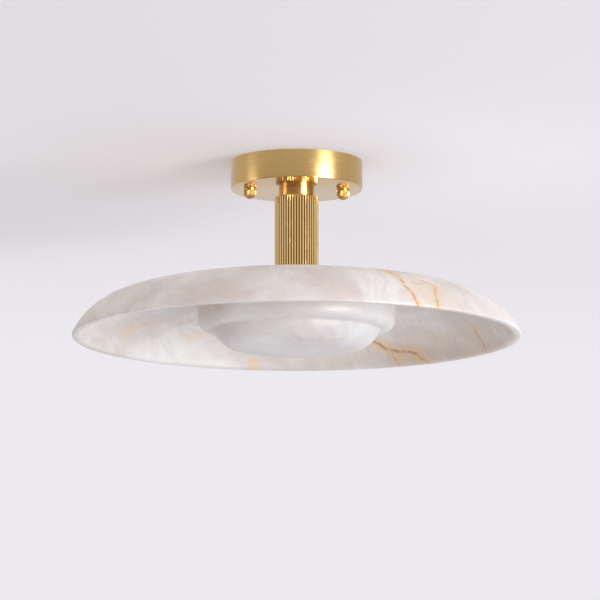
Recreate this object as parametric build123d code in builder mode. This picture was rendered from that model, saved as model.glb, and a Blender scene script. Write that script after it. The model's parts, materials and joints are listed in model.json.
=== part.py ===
"""Flush mount ceiling light: brass rose and fluted stem, alabaster dish and bowl, three capsule lamps.

Millimetres, +Z up. The origin is the middle of the ceiling face, so the whole light hangs below zero.
"""

from build123d import *
import os
from math import acos, asin, atan, cos, degrees, radians, sin, sqrt

os.makedirs("parts", exist_ok=True)

# Ceiling rose
rose_radius = 60
rose_height = 25.5
rose_wall = 1.5
rose_edge_round = 1.0

# Neck and fluted stem
neck_radius = 16
neck_height = 8
stem_radius = 20
stem_length = 71.3
stem_wall = 3
flute_count = 50
flute_depth = 0.65
flute_share = 0.68
stem_chamfer = 0.5
plug_height = 6

# Alabaster dish: its outer line runs rim, shoulder, haunch, crown
shade_radius = 203.8
shade_height = 56.3
shade_wall = 7
shade_rim_angle = 65.5
shoulder_arc = 67.6
haunch_angle = 19.2
haunch_arc = 159
seat_margin = 2
lip_outer_round = 1.6
lip_inner_round = 4.5

# Alabaster bowl: an upper tier with upright sides and a lower, smaller tier
bowl_radius = 89.5
bowl_drop = 14
bowl_wall = 7
tier_level = 6.8
upper_tier_arc = 10.4
tier_ledge = 3.8
tier_groove_round = 4
lower_tier_arc = 27
lower_tier_angle = 67.7
bowl_lip_round = 1.0

# Threaded centre tube, its nuts and washers
tube_radius = 5
tube_wall = 1.1
tube_spare = 2
tube_nut_width = 17
tube_nut_height = 5
gasket_thickness = 1.5
gasket_inset = 2
clamp_plate_radius = 30
clamp_plate_thickness = 2.5
washer_flange = 5
washer_thickness = 1.2

# Gallery pan over the bowl, with its three clamp screws
gallery_sheet = 1.5
gallery_skirt = 7.5
gallery_round = 1.2
bowl_gap = 1.0
bowl_pad_thickness = 1.5
bowl_pad_width = 5
screw_angles = (90, 210, 330)
screw_height = 3.0
screw_thread_radius = 2
screw_boss_radius = 3.5
screw_boss_length = 5
screw_head_radius = 5
screw_head_length = 8
screw_neck_length = 2
screw_neck_radius = 3.2
screw_tip_radius = 1.7
screw_tip_length = 2
knurl_count = 32
knurl_depth = 0.4

# Ceiling bracket and what it carries
bracket_margin = 6.5
bracket_width = 25
bracket_thickness = 2
bracket_corner_round = 4
cable_hole_radius = 8
slot_spacing = 60
slot_length = 14
slot_radius = 2.3
stud_spacing = 85
stud_radius = 2.5
stud_nut_width = 8
stud_nut_height = 4
stud_in_knob = 6
ear_width = 28
ear_room = 5
ear_corner_round = 3
earth_place = (-16, -2)
earth_screw_radius = 2
earth_head_radius = 3.6
earth_head_height = 2.4
cross_slot_length = 4.3
cross_slot_width = 0.9
small_chamfer = 0.5

# Knurled dome nuts
knob_radius = 5.75
knob_collar_radius = 5.2
knob_collar_height = 1.4
knob_barrel_height = 4.7
knob_dome_height = 3.0

# Terminal block and wiring
block_length = 21
block_width = 15
block_height = 12
block_margin = 1
block_corner_round = 1.5
pole_pitch = 11
pole_hole_radius = 1.8
pole_hole_depth = 5
terminal_screw_radius = 1.7
terminal_screw_height = 2
terminal_slot_width = 0.6
screw_well = 3
tag_thickness = 0.8
tag_barrel_radius = 1.7
tag_barrel_length = 6
tag_margin = 0.4
tag_neck_length = 3
core_radius = 1.0
core_inset = 0.25
core_bend = 6.0
core_angle = 54
flex_gap = 0.7
flex_inset = 3
lead_radius = 0.8
lead_inset = 0.2
lead_bend = 5.0
lead_sag = 1.5
lead_places = ((-30, -65), (-24, -5))

# Lampholders and capsule lamps
lamp_angles = (30, 150, 270)
lamp_distance = 46
lamp_air = 3.5
holder_length = 18
holder_width = 17
holder_height = 13
holder_corner_round = 3
holder_screw_depth = 6
holder_back = -34
pin_spacing = 9
pin_radius = 0.65
pin_length = 8
pin_hole_spare = 1
lamp_base_radius = 7.5
lamp_base_length = 12
lamp_base_round = 2
lamp_glass_radius = 7
lamp_glass_length = 30
lamp_glass_wall = 0.8
lamp_strip_width = 7
lamp_strip_thickness = 1.0
lamp_strip_length = 22
bracket_sheet = 1.2
bracket_foot = 12
bracket_strip_width = 12
small_screw_radius = 1.5
small_head_radius = 2.8
small_head_height = 1.8
small_nut_width = 5.5
small_nut_height = 2.4
nut_trim_share = 0.04

# Clearances
hole_clearance = 0.15
running_clearance = 0.05
stone_clearance = 0.6
stud_hole_clearance = 0.5
air_gap = 0.3


def arc_point(centre, arc_radius, slope):
    """Place on an arc where the surface slopes by that many degrees from level."""
    return (centre[0] + arc_radius * sin(radians(slope)), centre[1] + arc_radius * cos(radians(slope)))


def dome_arcs(rim_radius, height, rim_slope, bends):
    """Arcs of a dome, rim to crown, that run smoothly into each other.

    Each bend is an arc radius and the slope that it ends at. The last bend has no end slope, because
    the crown arc after it has to reach the given height on the axis.
    """
    arcs = []
    place, slope = (rim_radius, 0), rim_slope
    for arc_radius, end_slope in bends:
        centre = (place[0] - arc_radius * sin(radians(slope)), place[1] - arc_radius * cos(radians(slope)))
        if end_slope is None:
            end_slope = 2 * degrees(atan((height - centre[1] - arc_radius) / centre[0]))
        arcs.append((centre, arc_radius, slope, end_slope))
        place, slope = arc_point(centre, arc_radius, end_slope), end_slope
    crown_radius = place[0] / sin(radians(slope))
    arcs.append(((0, height - crown_radius), crown_radius, slope, 0))
    return arcs


def inner_arcs(arcs, wall, start_slope):
    """The same arcs one wall further in, from the slope where the inner surface starts."""
    moved = [(centre, arc_radius - wall, start, end) for centre, arc_radius, start, end in arcs]
    centre, arc_radius, _, end = moved[0]
    moved[0] = (centre, arc_radius, start_slope, end)
    return moved


def end_at_radius(arcs, flat_radius):
    """Stop the crown arc at a radius, where a flat seat takes over."""
    centre, arc_radius, start, _ = arcs[-1]
    end = degrees(atan(flat_radius / sqrt(arc_radius**2 - flat_radius**2)))
    return arcs[:-1] + [(centre, arc_radius, start, end)]


def draw_arcs(arcs, level, upward):
    """Draw dome arcs in the current line; upward is 1 for a dome and -1 for a bowl."""
    for centre, arc_radius, start, end in arcs:
        slopes = (start, (start + end) / 2, end)
        places = [arc_point(centre, arc_radius, slope) for slope in slopes]
        ThreePointArc(*[(place[0], level + upward * place[1]) for place in places])


def last_point(arcs, level, upward):
    """Where the last arc ends."""
    centre, arc_radius, _, end = arcs[-1]
    place = arc_point(centre, arc_radius, end)
    return (place[0], level + upward * place[1])


def ring(top, height, radius, bore=0.0):
    """Plain disc or ring about the light's axis, hanging down from its top face."""
    with BuildPart() as piece:
        with BuildSketch(Plane.XY.offset(top)):
            Circle(radius)
            if bore:
                Circle(bore, mode=Mode.SUBTRACT)
        extrude(amount=-height)
    return piece.part


def hex_nut(place, top, width, height, bore):
    """Hexagon nut with its corners turned down a little, hanging down from its top face."""
    corner = width / sqrt(3)
    with BuildPart() as piece:
        with BuildSketch(Plane((place[0], place[1], top))):
            RegularPolygon(width / 2, 6, major_radius=False)
            Circle(bore, mode=Mode.SUBTRACT)
        extrude(amount=-height)
        with BuildSketch(Plane((place[0], place[1], top))):
            Circle(corner - height * nut_trim_share)
        extrude(amount=-height, mode=Mode.INTERSECT)
    return piece.part


def knurled_sketch(radius):
    """Round section with small V grooves all round."""
    with BuildSketch() as section:
        Circle(radius)
        with PolarLocations(radius, knurl_count):
            Rectangle(knurl_depth * sqrt(2), knurl_depth * sqrt(2), rotation=45, mode=Mode.SUBTRACT)
    return section.sketch


# Radii that follow from their neighbours
tube_bore_radius = tube_radius - tube_wall
washer_radius = tube_radius + washer_flange
upper_seat_radius = stem_radius + seat_margin
lower_seat_radius = clamp_plate_radius + seat_margin
ledge_radius = bowl_radius - upper_tier_arc
lower_tier_radius = ledge_radius - tier_ledge
flex_radius = tube_bore_radius - flex_gap
core_circle = flex_radius - core_radius - core_inset
lead_circle = flex_radius - lead_radius - lead_inset

# Heights of the stack, from the ceiling down
rose_bottom = -rose_height
rose_floor = rose_bottom + rose_wall
neck_bottom = rose_bottom - neck_height
stem_bottom = neck_bottom - stem_length
shade_seat = stem_bottom - gasket_thickness

shade_bends = [(shoulder_arc, haunch_angle), (haunch_arc, None)]
shade_outer = dome_arcs(shade_radius, shade_height, shade_rim_angle, shade_bends)
shade_outer_cut = end_at_radius(shade_outer, upper_seat_radius)
rim_level = shade_seat - last_point(shade_outer_cut, 0, 1)[1]
shoulder_centre = shade_outer[0][0]
shade_inner_start = degrees(acos(-shoulder_centre[1] / (shoulder_arc - shade_wall)))
shade_inner = end_at_radius(inner_arcs(shade_outer, shade_wall, shade_inner_start), lower_seat_radius)
ceiling_level = last_point(shade_inner, rim_level, 1)[1]

clamp_plate_top = ceiling_level - gasket_thickness
clamp_nut_top = clamp_plate_top - clamp_plate_thickness
gallery_top = clamp_nut_top - tube_nut_height
gallery_bottom = gallery_top - gallery_sheet
gallery_nut_top = gallery_bottom - washer_thickness
tube_bottom = gallery_nut_top - tube_nut_height - tube_spare
bowl_top = gallery_bottom - bowl_pad_thickness
rose_nut_top = rose_floor + washer_thickness + tube_nut_height
tube_top = rose_nut_top + tube_spare

# Ceiling bracket: a cross bar with an ear for the terminal block
bracket_length = 2 * (rose_radius - rose_wall - bracket_margin)
ear_end = bracket_width / 2 + ear_room + block_width + block_margin
block_y = ear_end - block_margin - block_width / 2
with BuildPart() as ceiling_bracket:
    with BuildSketch():
        RectangleRounded(bracket_length, bracket_width, bracket_corner_round)
        with Locations((0, ear_end / 2)):
            Rectangle(ear_width, ear_end)
        Circle(cable_hole_radius, mode=Mode.SUBTRACT)
        with GridLocations(slot_spacing, 0, 2, 1):
            SlotOverall(slot_length, slot_radius * 2, mode=Mode.SUBTRACT)
        with GridLocations(stud_spacing, 0, 2, 1):
            Circle(stud_radius, mode=Mode.SUBTRACT)
        with Locations(earth_place):
            Circle(earth_screw_radius, mode=Mode.SUBTRACT)
        with Locations((0, block_y)):
            Circle(small_screw_radius, mode=Mode.SUBTRACT)
    extrude(amount=-bracket_thickness)
    ear_corners = ceiling_bracket.edges().filter_by(Axis.Z).group_by(Axis.Y)[-1]
    fillet(ear_corners, ear_corner_round)
ceiling_bracket.part.label = "ceiling_bracket"
export_step(ceiling_bracket.part, "parts/ceiling_bracket.step")

# Rose: a turned cup, open at the ceiling
with BuildPart() as rose:
    with BuildSketch():
        Circle(rose_radius)
    extrude(amount=rose_bottom)
    fillet(rose.edges().sort_by(Axis.Z)[0], rose_edge_round)
    with BuildSketch():
        Circle(rose_radius - rose_wall)
    extrude(amount=rose_floor, mode=Mode.SUBTRACT)
    with BuildSketch():
        Circle(tube_radius + hole_clearance)
        with GridLocations(stud_spacing, 0, 2, 1):
            Circle(stud_radius + stud_hole_clearance)
    extrude(amount=rose_bottom, mode=Mode.SUBTRACT)
rose.part.label = "rose"
export_step(rose.part, "parts/rose.step")

# Studs in the bracket, and the lock nuts under it
stud_end = rose_bottom - stud_in_knob
with BuildPart() as knob_studs:
    with BuildSketch():
        with GridLocations(stud_spacing, 0, 2, 1):
            Circle(stud_radius)
    extrude(amount=stud_end)
    chamfer(knob_studs.edges().group_by(Axis.Z)[0], small_chamfer)
knob_studs.part.label = "knob_studs"
export_step(knob_studs.part, "parts/knob_studs.step")

stud_nuts = Compound(
    label="stud_nuts",
    children=[
        hex_nut((place, 0), -bracket_thickness, stud_nut_width, stud_nut_height, stud_radius)
        for place in (-stud_spacing / 2, stud_spacing / 2)
    ],
)
export_step(stud_nuts, "parts/stud_nuts.step")


def knob_nut(side, name):
    """Knurled dome nut on one of the studs: a collar, a knurled barrel and a rounded end."""
    place = (side * stud_spacing / 2, 0, rose_bottom)
    barrel_end = knob_collar_height + knob_barrel_height
    knob_end = barrel_end + knob_dome_height
    dome_radius = knob_radius - knurl_depth
    dome_arc = (dome_radius**2 + knob_dome_height**2) / (2 * knob_dome_height)
    halfway = asin(dome_radius / dome_arc) / 2
    with BuildPart() as knob:
        with BuildSketch(Plane(place)):
            Circle(knob_collar_radius)
        extrude(amount=-knob_collar_height)
        with BuildSketch(Plane(place).offset(-knob_collar_height)):
            add(knurled_sketch(knob_radius))
        extrude(amount=-knob_barrel_height)
        with BuildSketch(Plane(place, x_dir=(1, 0, 0), z_dir=(0, -1, 0))):
            with BuildLine():
                Line((0, -barrel_end), (dome_radius, -barrel_end))
                ThreePointArc(
                    (dome_radius, -barrel_end),
                    (dome_arc * sin(halfway), dome_arc * (1 - cos(halfway)) - knob_end),
                    (0, -knob_end),
                )
                Line((0, -knob_end), (0, -barrel_end))
            make_face()
        revolve(axis=Axis(place, (0, 0, 1)))
        with BuildSketch(Plane(place)):
            Circle(stud_radius + running_clearance)
        extrude(amount=-(stud_in_knob + running_clearance), mode=Mode.SUBTRACT)
    knob.part.label = name
    export_step(knob.part, f"parts/{name}.step")


knob_nut(-1, "knob_nut_left")
knob_nut(1, "knob_nut_right")

# Earth screw under the bracket, and the ring tag that it clamps, with its crimped barrel
tag_top = -bracket_thickness
barrel_level = tag_top - tag_barrel_radius
barrel_start = earth_place[0] + earth_head_radius + hole_clearance
with BuildPart() as earth_tag:
    with BuildSketch(Plane((*earth_place, tag_top))):
        Circle(earth_head_radius + tag_margin)
        with Locations((barrel_start - earth_place[0], 0)):
            Rectangle(tag_neck_length, tag_barrel_radius * 2)
        Circle(earth_screw_radius, mode=Mode.SUBTRACT)
    extrude(amount=-tag_thickness)
    with BuildSketch(Plane((barrel_start, earth_place[1], barrel_level), z_dir=(1, 0, 0))):
        Circle(tag_barrel_radius)
    extrude(amount=tag_barrel_length)
    with BuildSketch(Plane((barrel_start, earth_place[1], barrel_level), z_dir=(1, 0, 0))):
        Circle(core_radius)
    extrude(amount=tag_barrel_length, mode=Mode.SUBTRACT)
earth_tag.part.label = "earth_tag"
export_step(earth_tag.part, "parts/earth_tag.step")

with BuildPart() as earth_screw:
    with BuildSketch(Plane((*earth_place, 0))):
        Circle(earth_screw_radius)
    extrude(amount=tag_top - tag_thickness)
    with BuildSketch(Plane((*earth_place, tag_top - tag_thickness))):
        Circle(earth_head_radius)
    extrude(amount=-earth_head_height)
    chamfer(earth_screw.edges().filter_by(GeomType.CIRCLE).sort_by(Axis.Z)[0], small_chamfer)
    with BuildSketch(Plane((*earth_place, tag_top - tag_thickness - earth_head_height))):
        Rectangle(cross_slot_length, cross_slot_width)
        Rectangle(cross_slot_width, cross_slot_length)
    extrude(amount=earth_head_height / 2, mode=Mode.SUBTRACT)
earth_screw.part.label = "earth_screw"
export_step(earth_screw.part, "parts/earth_screw.step")

# Terminal block on the ear, its pole screws and the screw that holds it
block_top = -bracket_thickness
block_bottom = block_top - block_height
pole_level = block_top - block_height / 2
core_side = block_y - block_width / 2
with BuildPart() as terminal_block:
    with BuildSketch(Plane((0, block_y, block_top))):
        RectangleRounded(block_length, block_width, block_corner_round)
    extrude(amount=-block_height)
    with BuildSketch(Plane((0, core_side, pole_level), x_dir=(1, 0, 0), z_dir=(0, -1, 0))):
        with GridLocations(pole_pitch, 0, 2, 1):
            Circle(pole_hole_radius)
    extrude(amount=-pole_hole_depth, mode=Mode.SUBTRACT)
    with BuildSketch(Plane((0, block_y, block_bottom))):
        with GridLocations(pole_pitch, block_width / 2, 2, 2):
            Circle(terminal_screw_radius)
        with Locations((0, 0)):
            Circle(small_head_radius)
    extrude(amount=screw_well, mode=Mode.SUBTRACT)
    with BuildSketch(Plane((0, block_y, 0))):
        Circle(small_screw_radius)
    extrude(amount=block_bottom, mode=Mode.SUBTRACT)
terminal_block.part.label = "terminal_block"
export_step(terminal_block.part, "parts/terminal_block.step")

with BuildPart() as terminal_screws:
    with BuildSketch(Plane((0, block_y, block_bottom + screw_well))):
        with GridLocations(pole_pitch, block_width / 2, 2, 2):
            Circle(terminal_screw_radius)
    extrude(amount=-terminal_screw_height)
    with BuildSketch(Plane((0, block_y, block_bottom + screw_well - terminal_screw_height))):
        with GridLocations(pole_pitch, block_width / 2, 2, 2):
            Rectangle(terminal_screw_radius * 2, terminal_slot_width)
    extrude(amount=terminal_screw_height / 2, mode=Mode.SUBTRACT)
terminal_screws.part.label = "terminal_screws"
export_step(terminal_screws.part, "parts/terminal_screws.step")

with BuildPart() as block_screw:
    with BuildSketch(Plane((0, block_y, 0))):
        Circle(small_screw_radius)
    extrude(amount=block_bottom + screw_well)
    with BuildSketch(Plane((0, block_y, block_bottom + screw_well))):
        Circle(small_head_radius)
    extrude(amount=-small_head_height)
block_screw.part.label = "block_screw"
export_step(block_screw.part, "parts/block_screw.step")

# Washers and nuts on the threaded tube: over the rose's floor, under the dish and under the gallery
tube_washers = Compound(
    label="tube_washers",
    children=[
        ring(top, washer_thickness, washer_radius, tube_radius)
        for top in (rose_floor + washer_thickness, gallery_bottom)
    ],
)
export_step(tube_washers, "parts/tube_washers.step")

tube_nuts = Compound(
    label="tube_nuts",
    children=[
        hex_nut((0, 0), top, tube_nut_width, tube_nut_height, tube_radius)
        for top in (rose_nut_top, clamp_nut_top, gallery_nut_top)
    ],
)
export_step(tube_nuts, "parts/tube_nuts.step")

# Threaded tube through the whole light
centre_tube = ring(tube_top, tube_top - tube_bottom, tube_radius, tube_bore_radius)
centre_tube.label = "centre_tube"
export_step(centre_tube, "parts/centre_tube.step")

# Smooth neck
with BuildPart() as neck:
    with BuildSketch(Plane.XY.offset(rose_bottom)):
        Circle(neck_radius)
        Circle(tube_radius + hole_clearance, mode=Mode.SUBTRACT)
    extrude(amount=-neck_height)
neck.part.label = "neck"
export_step(neck.part, "parts/neck.step")

# Fluted stem: hollow grooves with narrow lands between them
flute_pitch = 2 * sin(radians(180 / flute_count)) * stem_radius
flute_half = flute_pitch * flute_share / 2
flute_radius = (flute_half**2 + flute_depth**2) / (2 * flute_depth)
with BuildPart() as stem_sleeve:
    with BuildSketch(Plane.XY.offset(neck_bottom)):
        Circle(stem_radius)
    extrude(amount=-stem_length)
    chamfer(stem_sleeve.edges().filter_by(GeomType.CIRCLE), stem_chamfer)
    with BuildSketch(Plane.XY.offset(neck_bottom)):
        with PolarLocations(stem_radius - flute_depth + flute_radius, flute_count):
            Circle(flute_radius)
        Circle(stem_radius - stem_wall)
    extrude(amount=-stem_length, mode=Mode.SUBTRACT)
stem_sleeve.part.label = "stem_sleeve"
export_step(stem_sleeve.part, "parts/stem_sleeve.step")

plug_radius = stem_radius - stem_wall - running_clearance
stem_top_plug = ring(neck_bottom, plug_height, plug_radius, tube_radius + hole_clearance)
stem_top_plug.label = "stem_top_plug"
export_step(stem_top_plug, "parts/stem_top_plug.step")

stem_bottom_plug = ring(stem_bottom + plug_height, plug_height, plug_radius, tube_radius + hole_clearance)
stem_bottom_plug.label = "stem_bottom_plug"
export_step(stem_bottom_plug, "parts/stem_bottom_plug.step")

# Silicone rings above and below the stone
upper_gasket = ring(stem_bottom, gasket_thickness, stem_radius - gasket_inset, tube_radius + hole_clearance)
upper_gasket.label = "upper_gasket"
export_step(upper_gasket, "parts/upper_gasket.step")

lower_gasket_radius = clamp_plate_radius - gasket_inset
lower_gasket = ring(ceiling_level, gasket_thickness, lower_gasket_radius, tube_radius + hole_clearance)
lower_gasket.label = "lower_gasket"
export_step(lower_gasket, "parts/lower_gasket.step")

# Alabaster dish
stone_hole_radius = tube_radius + stone_clearance
shade_inner_rim = arc_point(shade_inner[0][0], shade_inner[0][1], shade_inner_start)
with BuildPart() as shade:
    with BuildSketch(Plane.XZ):
        with BuildLine():
            draw_arcs(shade_outer_cut, rim_level, 1)
            Polyline(
                last_point(shade_outer_cut, rim_level, 1),
                (stone_hole_radius, shade_seat),
                (stone_hole_radius, ceiling_level),
                last_point(shade_inner, rim_level, 1),
            )
            draw_arcs(shade_inner, rim_level, 1)
            Line((shade_inner_rim[0], rim_level), (shade_radius, rim_level))
        make_face()
    revolve(axis=Axis.Z)
    lip = shade.edges().filter_by(GeomType.CIRCLE).group_by(Axis.Z)[0].sort_by(SortBy.RADIUS)
    fillet(lip[-1], lip_outer_round)
    fillet(lip[0], lip_inner_round)
shade.part.label = "shade"
export_step(shade.part, "parts/shade.step")

# Clamp plate under the stone
clamp_plate = ring(clamp_plate_top, clamp_plate_thickness, clamp_plate_radius, tube_radius + hole_clearance)
clamp_plate.label = "clamp_plate"
export_step(clamp_plate, "parts/clamp_plate.step")

# Gallery pan: a disc with a short skirt that the bowl's rim stands in
skirt_inner_radius = bowl_radius + bowl_gap
skirt_outer_radius = skirt_inner_radius + gallery_sheet
skirt_bottom = gallery_bottom - gallery_skirt
screw_level = skirt_bottom + screw_height
foot_screw_tangent = holder_back - bracket_sheet - bracket_foot / 2
with BuildPart() as gallery:
    with BuildSketch(Plane.XY.offset(gallery_top)):
        Circle(skirt_outer_radius)
    extrude(amount=skirt_bottom - gallery_top)
    fillet(gallery.edges().group_by(Axis.Z)[-1], gallery_round)
    with BuildSketch(Plane.XY.offset(gallery_bottom)):
        Circle(skirt_inner_radius)
    extrude(amount=skirt_bottom - gallery_bottom, mode=Mode.SUBTRACT)
    with BuildSketch(Plane.XY.offset(gallery_top)):
        Circle(tube_radius + hole_clearance)
        for angle in lamp_angles:
            with PolarLocations(0, 1, start_angle=angle):
                with Locations((lamp_distance, foot_screw_tangent)):
                    Circle(small_screw_radius)
    extrude(amount=-gallery_sheet, mode=Mode.SUBTRACT)
    for angle in screw_angles:
        outward = (cos(radians(angle)), sin(radians(angle)), 0)
        start = Vector(outward) * (skirt_inner_radius - bowl_gap) + Vector(0, 0, screw_level)
        with BuildSketch(Plane(start, z_dir=outward)):
            Circle(screw_thread_radius + running_clearance)
        extrude(amount=gallery_sheet + 2 * bowl_gap, mode=Mode.SUBTRACT)
gallery.part.label = "gallery"
export_step(gallery.part, "parts/gallery.step")


def screw_plane(angle, distance):
    """Plane across one clamp screw, facing outwards, that far from the light's axis."""
    outward = Vector(cos(radians(angle)), sin(radians(angle)), 0)
    return Plane(outward * distance + Vector(0, 0, screw_level), z_dir=outward)


def screw_boss(angle):
    """Threaded boss on the outside of the skirt."""
    with BuildPart() as boss:
        with BuildSketch(screw_plane(angle, skirt_inner_radius + gallery_sheet / 2)):
            Circle(screw_boss_radius)
            Circle(screw_thread_radius + running_clearance, mode=Mode.SUBTRACT)
        extrude(amount=gallery_sheet / 2 + screw_boss_length)
        with BuildSketch(Plane.XY.offset(skirt_bottom - screw_boss_radius)):
            Circle(skirt_outer_radius)
        extrude(amount=gallery_top - skirt_bottom + screw_boss_radius, mode=Mode.SUBTRACT)
    return boss.part


screw_bosses = Compound(label="screw_bosses", children=[screw_boss(angle) for angle in screw_angles])
export_step(screw_bosses, "parts/screw_bosses.step")

boss_end = skirt_outer_radius + screw_boss_length
tip_start = bowl_radius + air_gap
thread_start = tip_start + screw_tip_length
head_start = boss_end + air_gap + screw_neck_length


def thumbscrew(angle, name):
    """Knurled screw that clamps the bowl through a boss."""
    with BuildPart() as screw:
        with BuildSketch(screw_plane(angle, thread_start)):
            Circle(screw_thread_radius)
        extrude(amount=head_start - thread_start)
        with BuildSketch(screw_plane(angle, boss_end + air_gap)):
            Circle(screw_neck_radius)
        extrude(amount=screw_neck_length)
        with BuildSketch(screw_plane(angle, head_start)):
            add(knurled_sketch(screw_head_radius))
        extrude(amount=screw_head_length)
    screw.part.label = name
    export_step(screw.part, f"parts/{name}.step")


def thumbscrew_tip(angle, name):
    """Nylon tip that bears on the stone."""
    with BuildPart() as tip:
        with BuildSketch(screw_plane(angle, tip_start)):
            Circle(screw_tip_radius)
        extrude(amount=screw_tip_length)
    tip.part.label = name
    export_step(tip.part, f"parts/{name}.step")


for number, angle in enumerate(screw_angles, start=1):
    thumbscrew(angle, f"thumbscrew_{number}")
    thumbscrew_tip(angle, f"thumbscrew_tip_{number}")

# Felt ring between the bowl's rim and the gallery
pad_outer_radius = bowl_radius - (bowl_wall - bowl_pad_width) / 2
bowl_pad = ring(gallery_bottom, bowl_pad_thickness, pad_outer_radius, pad_outer_radius - bowl_pad_width)
bowl_pad.label = "bowl_pad"
export_step(bowl_pad, "parts/bowl_pad.step")

# Alabaster bowl
step_level = rim_level + tier_level
lower_tier_depth = bowl_drop + tier_level
lower_outer = dome_arcs(lower_tier_radius, lower_tier_depth, lower_tier_angle, [(lower_tier_arc, None)])
inner_rise = lower_tier_arc * cos(radians(lower_tier_angle)) - bowl_wall
inner_side_angle = degrees(acos(inner_rise / (lower_tier_arc - bowl_wall)))
lower_inner = inner_arcs(lower_outer, bowl_wall, inner_side_angle)
shoulder_level = step_level + upper_tier_arc
inner_shoulder_arc = upper_tier_arc - bowl_wall
inner_side = arc_point(*lower_inner[0][:3])
inner_ledge_level = step_level - inner_side[1]
bowl_inner_radius = bowl_radius - bowl_wall
with BuildPart() as bowl:
    with BuildSketch(Plane.XZ):
        with BuildLine():
            draw_arcs(lower_outer, step_level, -1)
            Line((0, step_level - lower_tier_depth), (0, step_level - lower_tier_depth + bowl_wall))
            draw_arcs(lower_inner, step_level, -1)
            Line((inner_side[0], inner_ledge_level), (ledge_radius, inner_ledge_level))
            ThreePointArc(
                (ledge_radius, inner_ledge_level),
                (
                    ledge_radius + inner_shoulder_arc * sin(radians(45)),
                    shoulder_level - inner_shoulder_arc * cos(radians(45)),
                ),
                (bowl_inner_radius, shoulder_level),
            )
            Polyline(
                (bowl_inner_radius, shoulder_level),
                (bowl_inner_radius, bowl_top),
                (bowl_radius, bowl_top),
                (bowl_radius, shoulder_level),
            )
            ThreePointArc(
                (bowl_radius, shoulder_level),
                (
                    ledge_radius + upper_tier_arc * sin(radians(45)),
                    shoulder_level - upper_tier_arc * cos(radians(45)),
                ),
                (ledge_radius, step_level),
            )
            Line((ledge_radius, step_level), (lower_tier_radius, step_level))
        make_face()
    revolve(axis=Axis.Z)
    fillet(bowl.edges().filter_by(GeomType.CIRCLE).group_by(Axis.Z)[-1], bowl_lip_round)
    near_step = (step_level - hole_clearance, step_level + hole_clearance)
    step_edges = bowl.edges().filter_by(GeomType.CIRCLE).filter_by_position(Axis.Z, *near_step)
    groove = step_edges.sort_by(SortBy.RADIUS)[-2]
    fillet(groove, tier_groove_round)
bowl.part.label = "bowl"
export_step(bowl.part, "parts/bowl.step")

# Lampholders: each lamp lies across the radius at its angle, in a frame whose X points outwards
lamp_level = gallery_bottom - lamp_air - lamp_base_radius
holder_front = holder_back + holder_length
lamp_start = holder_front + air_gap
glass_start = lamp_start + lamp_base_length


def across(angle, distance, height=0.0, outward=0.0):
    """Plane across a lamp's axis at that distance along it, facing along the lamp."""
    out = Vector(cos(radians(angle)), sin(radians(angle)), 0)
    along = Vector(-sin(radians(angle)), cos(radians(angle)), 0)
    place = out * (lamp_distance + outward) + along * distance + Vector(0, 0, lamp_level + height)
    return Plane(place, x_dir=out, z_dir=along)


def level_plane(angle, distance, top):
    """Level plane over a lamp's axis at that distance along it."""
    out = Vector(cos(radians(angle)), sin(radians(angle)), 0)
    along = Vector(-sin(radians(angle)), cos(radians(angle)), 0)
    return Plane(out * lamp_distance + along * distance + Vector(0, 0, top), x_dir=out, z_dir=(0, 0, 1))


def lampholder(angle, name):
    """Ceramic holder with two pin holes in front and a tapped hole in its back."""
    with BuildPart() as holder:
        with BuildSketch(across(angle, holder_back)):
            RectangleRounded(holder_width, holder_height, holder_corner_round)
        extrude(amount=holder_length)
        with BuildSketch(across(angle, holder_front)):
            with GridLocations(pin_spacing, 0, 2, 1):
                Circle(pin_radius + running_clearance)
        extrude(amount=-pin_length - pin_hole_spare, mode=Mode.SUBTRACT)
        with BuildSketch(across(angle, holder_back)):
            Circle(small_screw_radius)
        extrude(amount=holder_screw_depth, mode=Mode.SUBTRACT)
    holder.part.label = name
    export_step(holder.part, f"parts/{name}.step")


def holder_bracket(angle, name):
    """Bent strip: a foot under the gallery and a leg behind the holder."""
    leg_back = holder_back - bracket_sheet
    leg_bottom = lamp_level - holder_height / 2
    with BuildPart() as bracket:
        with BuildSketch(level_plane(angle, leg_back - bracket_foot / 2 + bracket_sheet / 2, gallery_bottom)):
            Rectangle(bracket_strip_width, bracket_foot + bracket_sheet)
        extrude(amount=-bracket_sheet)
        with BuildSketch(level_plane(angle, leg_back + bracket_sheet / 2, gallery_bottom)):
            Rectangle(bracket_strip_width, bracket_sheet)
        extrude(amount=leg_bottom - gallery_bottom)
        with BuildSketch(level_plane(angle, foot_screw_tangent, gallery_bottom)):
            Circle(small_screw_radius)
        extrude(amount=-bracket_sheet, mode=Mode.SUBTRACT)
        with BuildSketch(across(angle, leg_back)):
            Circle(small_screw_radius)
        extrude(amount=bracket_sheet, mode=Mode.SUBTRACT)
    bracket.part.label = name
    export_step(bracket.part, f"parts/{name}.step")


def bracket_screw(angle):
    """Screw up through a bracket's foot and the gallery."""
    foot_bottom = gallery_bottom - bracket_sheet
    shank_length = bracket_sheet + gallery_sheet + small_nut_height
    with BuildPart() as screw:
        with BuildSketch(level_plane(angle, foot_screw_tangent, foot_bottom)):
            Circle(small_screw_radius)
        extrude(amount=shank_length)
        with BuildSketch(level_plane(angle, foot_screw_tangent, foot_bottom)):
            Circle(small_head_radius)
        extrude(amount=-small_head_height)
    return screw.part


def bracket_nut(angle):
    """Nut of a bracket's screw, on top of the gallery."""
    place = level_plane(angle, foot_screw_tangent, gallery_top).origin
    top = gallery_top + small_nut_height
    return hex_nut((place.X, place.Y), top, small_nut_width, small_nut_height, small_screw_radius)


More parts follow.
